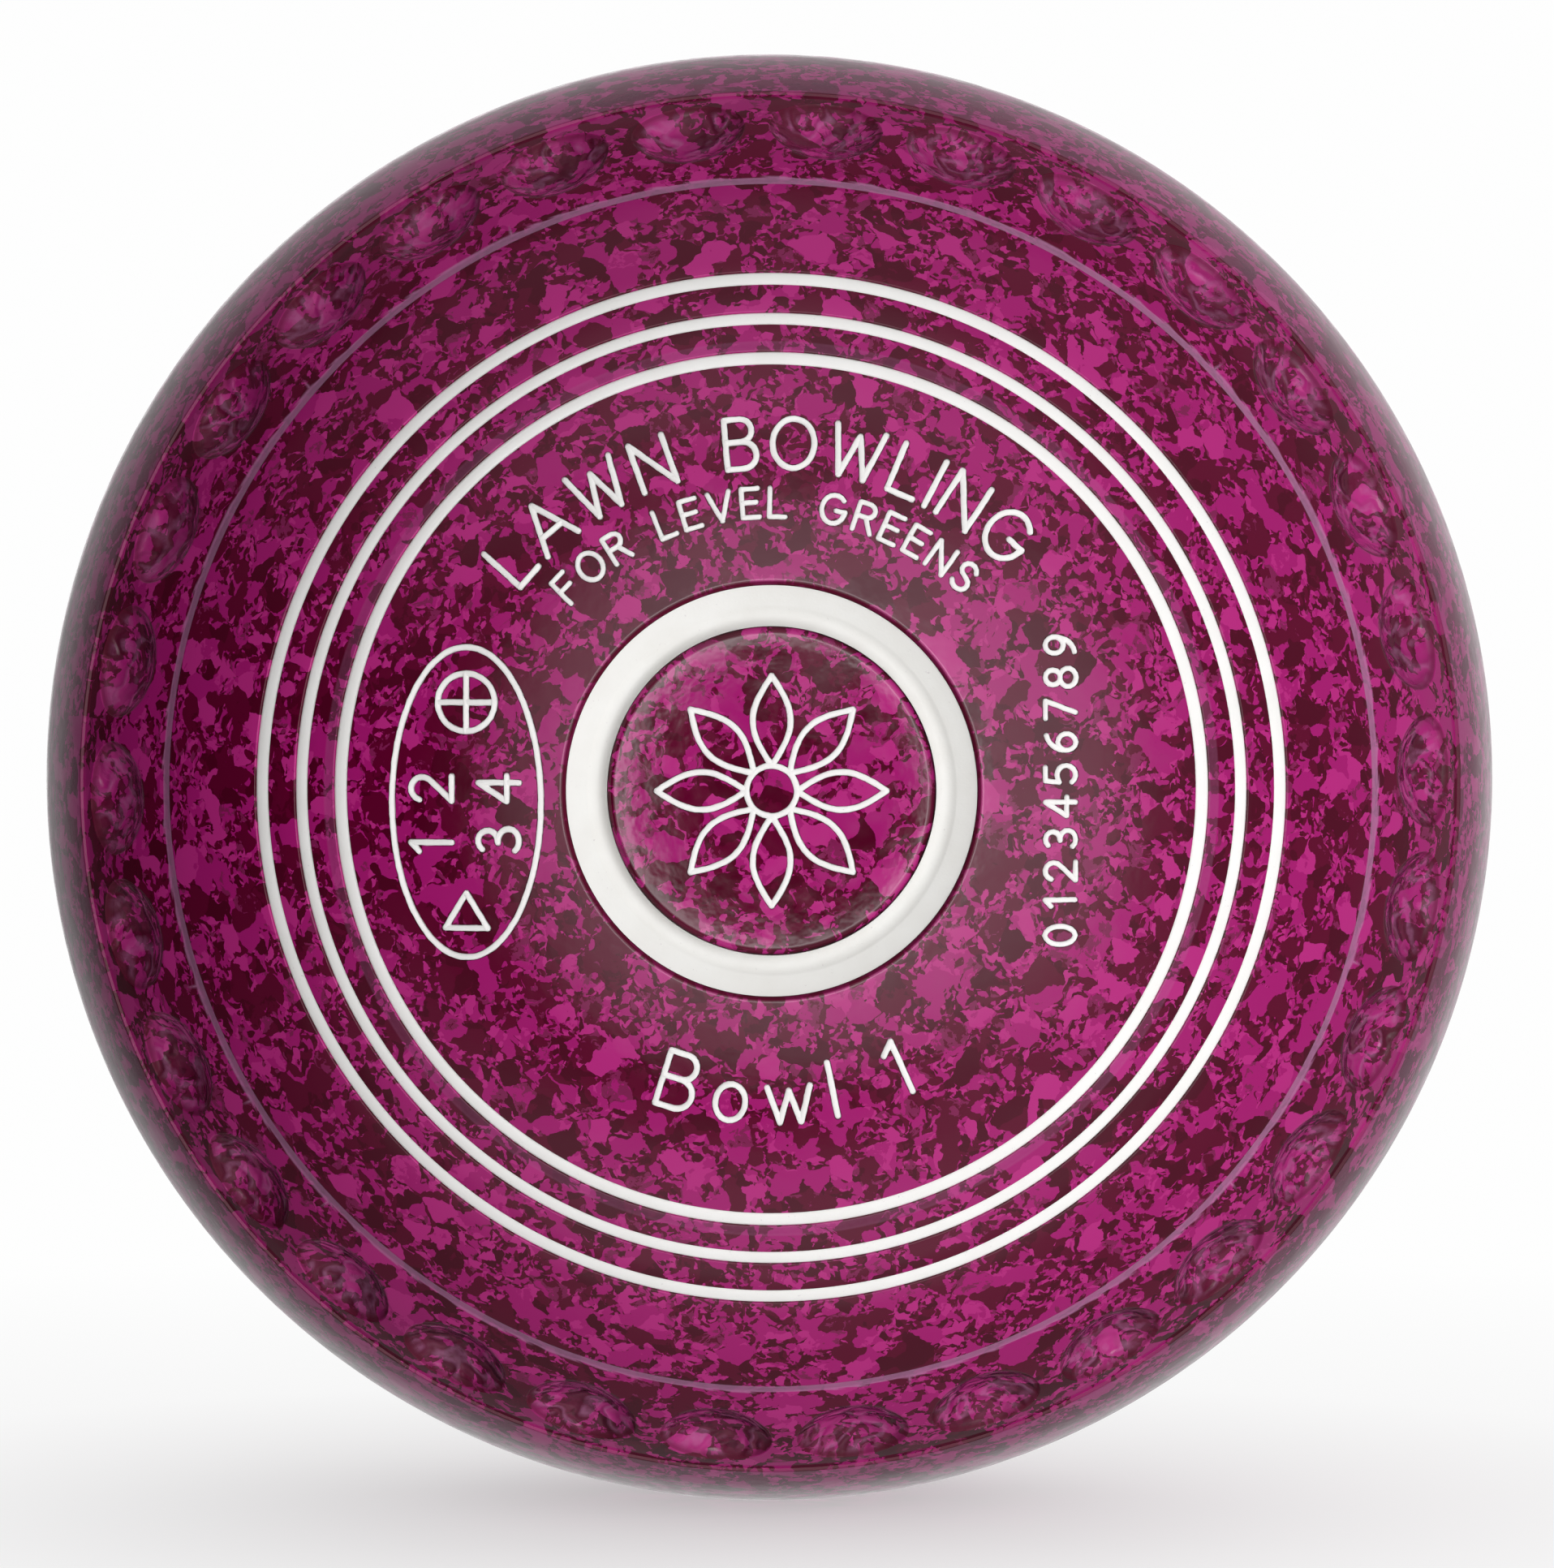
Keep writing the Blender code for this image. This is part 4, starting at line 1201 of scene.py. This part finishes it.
def speckled_resin():
    """Crisp chips of magenta and maroon, large and small, under a polished surface.

    Rubbed places are paler and duller, their pale colour partly a painted haze; dimples have
    swirling pale streaks of painted reflection; and painted shade is dark and matt.
    """
    material, nodes, shader = new_material("speckled_resin")
    mm = nodes.millimetres()
    scuff_and_haze, scoop, grime = (nodes.wear_haze_and_shade(kind) for kind in WEAR_HAZE_AND_SHADE)
    speckle = nodes.ramp(chips(nodes, mm), CHIP_COLOURS, "CONSTANT")
    swirl = swirls(nodes, mm)
    # Pale swirling streaks in the dimples: a painted reflection of hazy light.
    reflected_streaks = nodes.ramp(swirl, ((0.1, 0.12), (0.9, 0.65)))
    patches = nodes.ramp(nodes.noise(mm, 0.9, 3.0, 0.6), ((0.35, 0.18), (0.62, 0.6)))
    painted_swirl_reflection = nodes.math("MULTIPLY", nodes.math("MULTIPLY", scoop, reflected_streaks), patches)
    # Scuffed stretches grow paler and rougher; the paleness also paints reflected haze.
    rub_and_haze_pattern = nodes.ramp(nodes.noise(mm, 2.6, 2.0, 0.6), ((0.35, 0.42), (0.62, 0.52)))
    rub_and_haze = nodes.math("MULTIPLY", scuff_and_haze, rub_and_haze_pattern)
    wear_and_haze = nodes.math("MAXIMUM", rub_and_haze, painted_swirl_reflection)
    polish = nodes.ramp(nodes.noise(mm, 0.7, 3.0), ((0.3, 0.07), (0.75, 0.15)))
    rough = nodes.math("ADD", polish, nodes.math("MULTIPLY", rub_and_haze, 0.4))
    relief = nodes.math("MULTIPLY", nodes.math("MULTIPLY", swirl, scoop), 5.0)
    height = nodes.math("ADD", nodes.noise(mm, 0.8), relief)
    # Painted shade turns the colour deep maroon, matt and without reflection.
    nodes.feed(shader, {
        "Base Color": nodes.mix(grime, nodes.mix(wear_and_haze, speckle, HAZY_SCUFFED_RESIN), DEEP_MAROON),
        "Roughness": nodes.math("MAXIMUM", rough, grime),
        "Specular IOR Level": nodes.ramp(grime, ((0.0, 0.5), (0.8, 0.12))),
        "Normal": nodes.bump(height, 0.3, 0.06 * MM),
        "IOR": 1.55,
    })
    return material


def groove_paint(name, dull, bright):
    """Hard white paint with a faint brushed unevenness, dark specks of dirt, and painted shade along
    its ragged edges.
    """
    material, nodes, shader = new_material(name)
    mm = nodes.millimetres()
    tone = nodes.ramp(nodes.noise(mm, 0.35, 3.0), ((0.3, dull), (0.7, bright)))
    specks = nodes.noise(mm, 3.2, 2.0, 0.7)
    spots = nodes.ramp(specks, ((0.69, 0.0), (0.78, 0.45)))
    raggedness = nodes.ramp(specks, ((0.35, 0.25), (0.6, 0.9)))
    # Painted shade along the ragged edges of the beads.
    edges = nodes.math("MULTIPLY", nodes.wear_haze_and_shade("grime"), raggedness)
    nodes.feed(shader, {
        "Base Color": nodes.mix(nodes.math("MAXIMUM", spots, edges), tone, PAINT_DIRT_AND_SHADE),
        "Roughness": nodes.ramp(specks, ((0.3, 0.38), (0.7, 0.55))),
        "Normal": nodes.bump(nodes.noise(mm, 5.0, 3.0), 0.25, 0.04 * MM),
        "IOR": 1.45,
    })
    return material


# ---------------- the studio


def add_camera():
    data = bpy.data.cameras.new("camera")
    data.lens = CAMERA_LENS_MM
    data.clip_start, data.clip_end = 0.01, 50
    camera = bpy.data.objects.new("camera", data)
    bpy.context.scene.collection.objects.link(camera)
    back = Vector((
        math.sin(CAMERA_AZIMUTH) * math.cos(CAMERA_ELEVATION),
        -math.cos(CAMERA_AZIMUTH) * math.cos(CAMERA_ELEVATION),
        math.sin(CAMERA_ELEVATION),
    ))
    camera.location = back * CAMERA_DISTANCE
    camera.rotation_mode = "QUATERNION"
    camera.rotation_quaternion = (CAMERA_AIM - camera.location).to_track_quat("-Z", "Y")
    bpy.context.scene.camera = camera


def stage_material():
    """Pale and matt: it takes the bowl's soft shadow, and is evenly lit farther away."""
    material, nodes, shader = new_material("pale_stage")
    place = nodes.new("TexCoord").outputs["Object"]
    distance = nodes.new("VectorMath", {0: place}, operation="LENGTH").outputs["Value"]
    matt = {"Base Color": as_colour(STAGE_WHITE), "Roughness": 0.9, "Specular IOR Level": 0.0}
    nodes.feed(shader, matt)
    glow = nodes.new("Emission", {"Color": as_colour(STAGE_GLOW), "Strength": 1.0})
    share = nodes.ramp(distance, GLOW_BY_DISTANCE)
    mixed = nodes.new("MixShader", {0: share, 1: shader.outputs[0], 2: glow.outputs[0]})
    nodes.feed(material.node_tree.nodes["Material Output"], {"Surface": mixed.outputs[0]})
    return material


def turned_stage(name, profile, material):
    points, rows = [], []
    for radius, height in profile:
        rows.append(range(len(points), len(points) + STAGE_STEPS))
        points += [(*point, height) for point in ring_of_points(radius, STAGE_STEPS)]
    mesh = bpy.data.meshes.new(name)
    mesh.from_pydata(points, [], bands(rows))
    mesh.shade_smooth()
    mesh.materials.append(material)
    stage = bpy.data.objects.new(name, mesh)
    stage.location = (0, 0, CAD_BOX[0].z)
    stage.visible_diffuse = False
    stage.visible_glossy = False
    bpy.context.scene.collection.objects.link(stage)
    return stage


def add_stage():
    """A floor that catches the shadow, and a cove round it that only the camera sees."""
    material = stage_material()
    turned_stage("stage_floor", ((0.0001, 0), (FLOOR_RADIUS, 0)), material)
    curve_start = STAGE_RADIUS - STAGE_CURVE_RADIUS
    curve = [(FLOOR_RADIUS, 0), (curve_start, 0)]
    for step in range(1, STAGE_CURVE_STEPS + 1):
        turn = math.pi / 2 * step / STAGE_CURVE_STEPS
        across = curve_start + STAGE_CURVE_RADIUS * math.sin(turn)
        curve.append((across, STAGE_CURVE_RADIUS * (1 - math.cos(turn))))
    curve.append((STAGE_RADIUS, STAGE_HEIGHT))
    cove = turned_stage("stage_cove", curve, material)
    cove.visible_shadow = False


def lobe(nodes, direction, towards, gathering):
    """Light that is strongest from one side and fades smoothly away from it."""
    along = nodes.vector("DOT_PRODUCT", direction, Vector(towards).normalized())
    return nodes.math("POWER", nodes.math("MAXIMUM", along, 0.0), gathering)


def reflected_room(nodes, direction):
    """What polished surfaces mirror: a dark spot in front, a bright ring, then a dim room."""
    flat = nodes.vector("MULTIPLY", direction, (1, 0, 1))
    around = nodes.new("VectorMath", {0: flat}, operation="NORMALIZE").outputs["Vector"]
    facing = nodes.vector("DOT_PRODUCT", direction, Vector(DARK_CENTRE).normalized())
    angle = nodes.math("DIVIDE", nodes.math("ARCCOSINE", facing), math.pi)
    total = lobe(nodes, direction, GLARE, GLARE_GATHERING)
    for towards, table in MIRRORED:
        along = nodes.math("MAXIMUM", nodes.vector("DOT_PRODUCT", around, towards), 0.0)
        share = nodes.math("MULTIPLY", along, along)
        level = nodes.ramp(angle, [(degrees / 180, level) for degrees, level in table])
        total = nodes.math("ADD", total, nodes.math("MULTIPLY", share, level))
    return total


def add_light():
    """Soft light from all round, strongest from in front and behind, and what polish mirrors."""
    world = bpy.data.worlds.new("studio")
    bpy.context.scene.world = world
    world.use_nodes = True
    nodes = Nodes(world.node_tree)
    direction = nodes.new("TexCoord").outputs["Generated"]
    soft = BASE_LIGHT
    for towards, gathering, level in SOFT_LIGHTS:
        light = nodes.math("MULTIPLY", lobe(nodes, direction, towards, gathering), level)
        soft = nodes.math("ADD", soft, light)
    is_mirrored = nodes.new("LightPath").outputs["Is Glossy Ray"]
    seen = nodes.mix(is_mirrored, soft, reflected_room(nodes, direction))
    nodes.feed(world.node_tree.nodes["Background"], {"Color": seen, "Strength": 1.0})


def build():
    # The ring paint is a darker, painted-shade copy of the line paint.
    shaded_ring_paint = groove_paint("shaded_white_ring_paint", *SHADED_RING_WHITES)
    line_paint = groove_paint("white_line_paint", *LINE_WHITES)
    body_piece(speckled_resin())
    for face in (FRONT, BACK):
        paint_pieces(face, shaded_ring_paint, line_paint)
    add_camera()
    add_stage()
    add_light()
    bpy.context.scene.view_settings.view_transform = "Standard"


build()
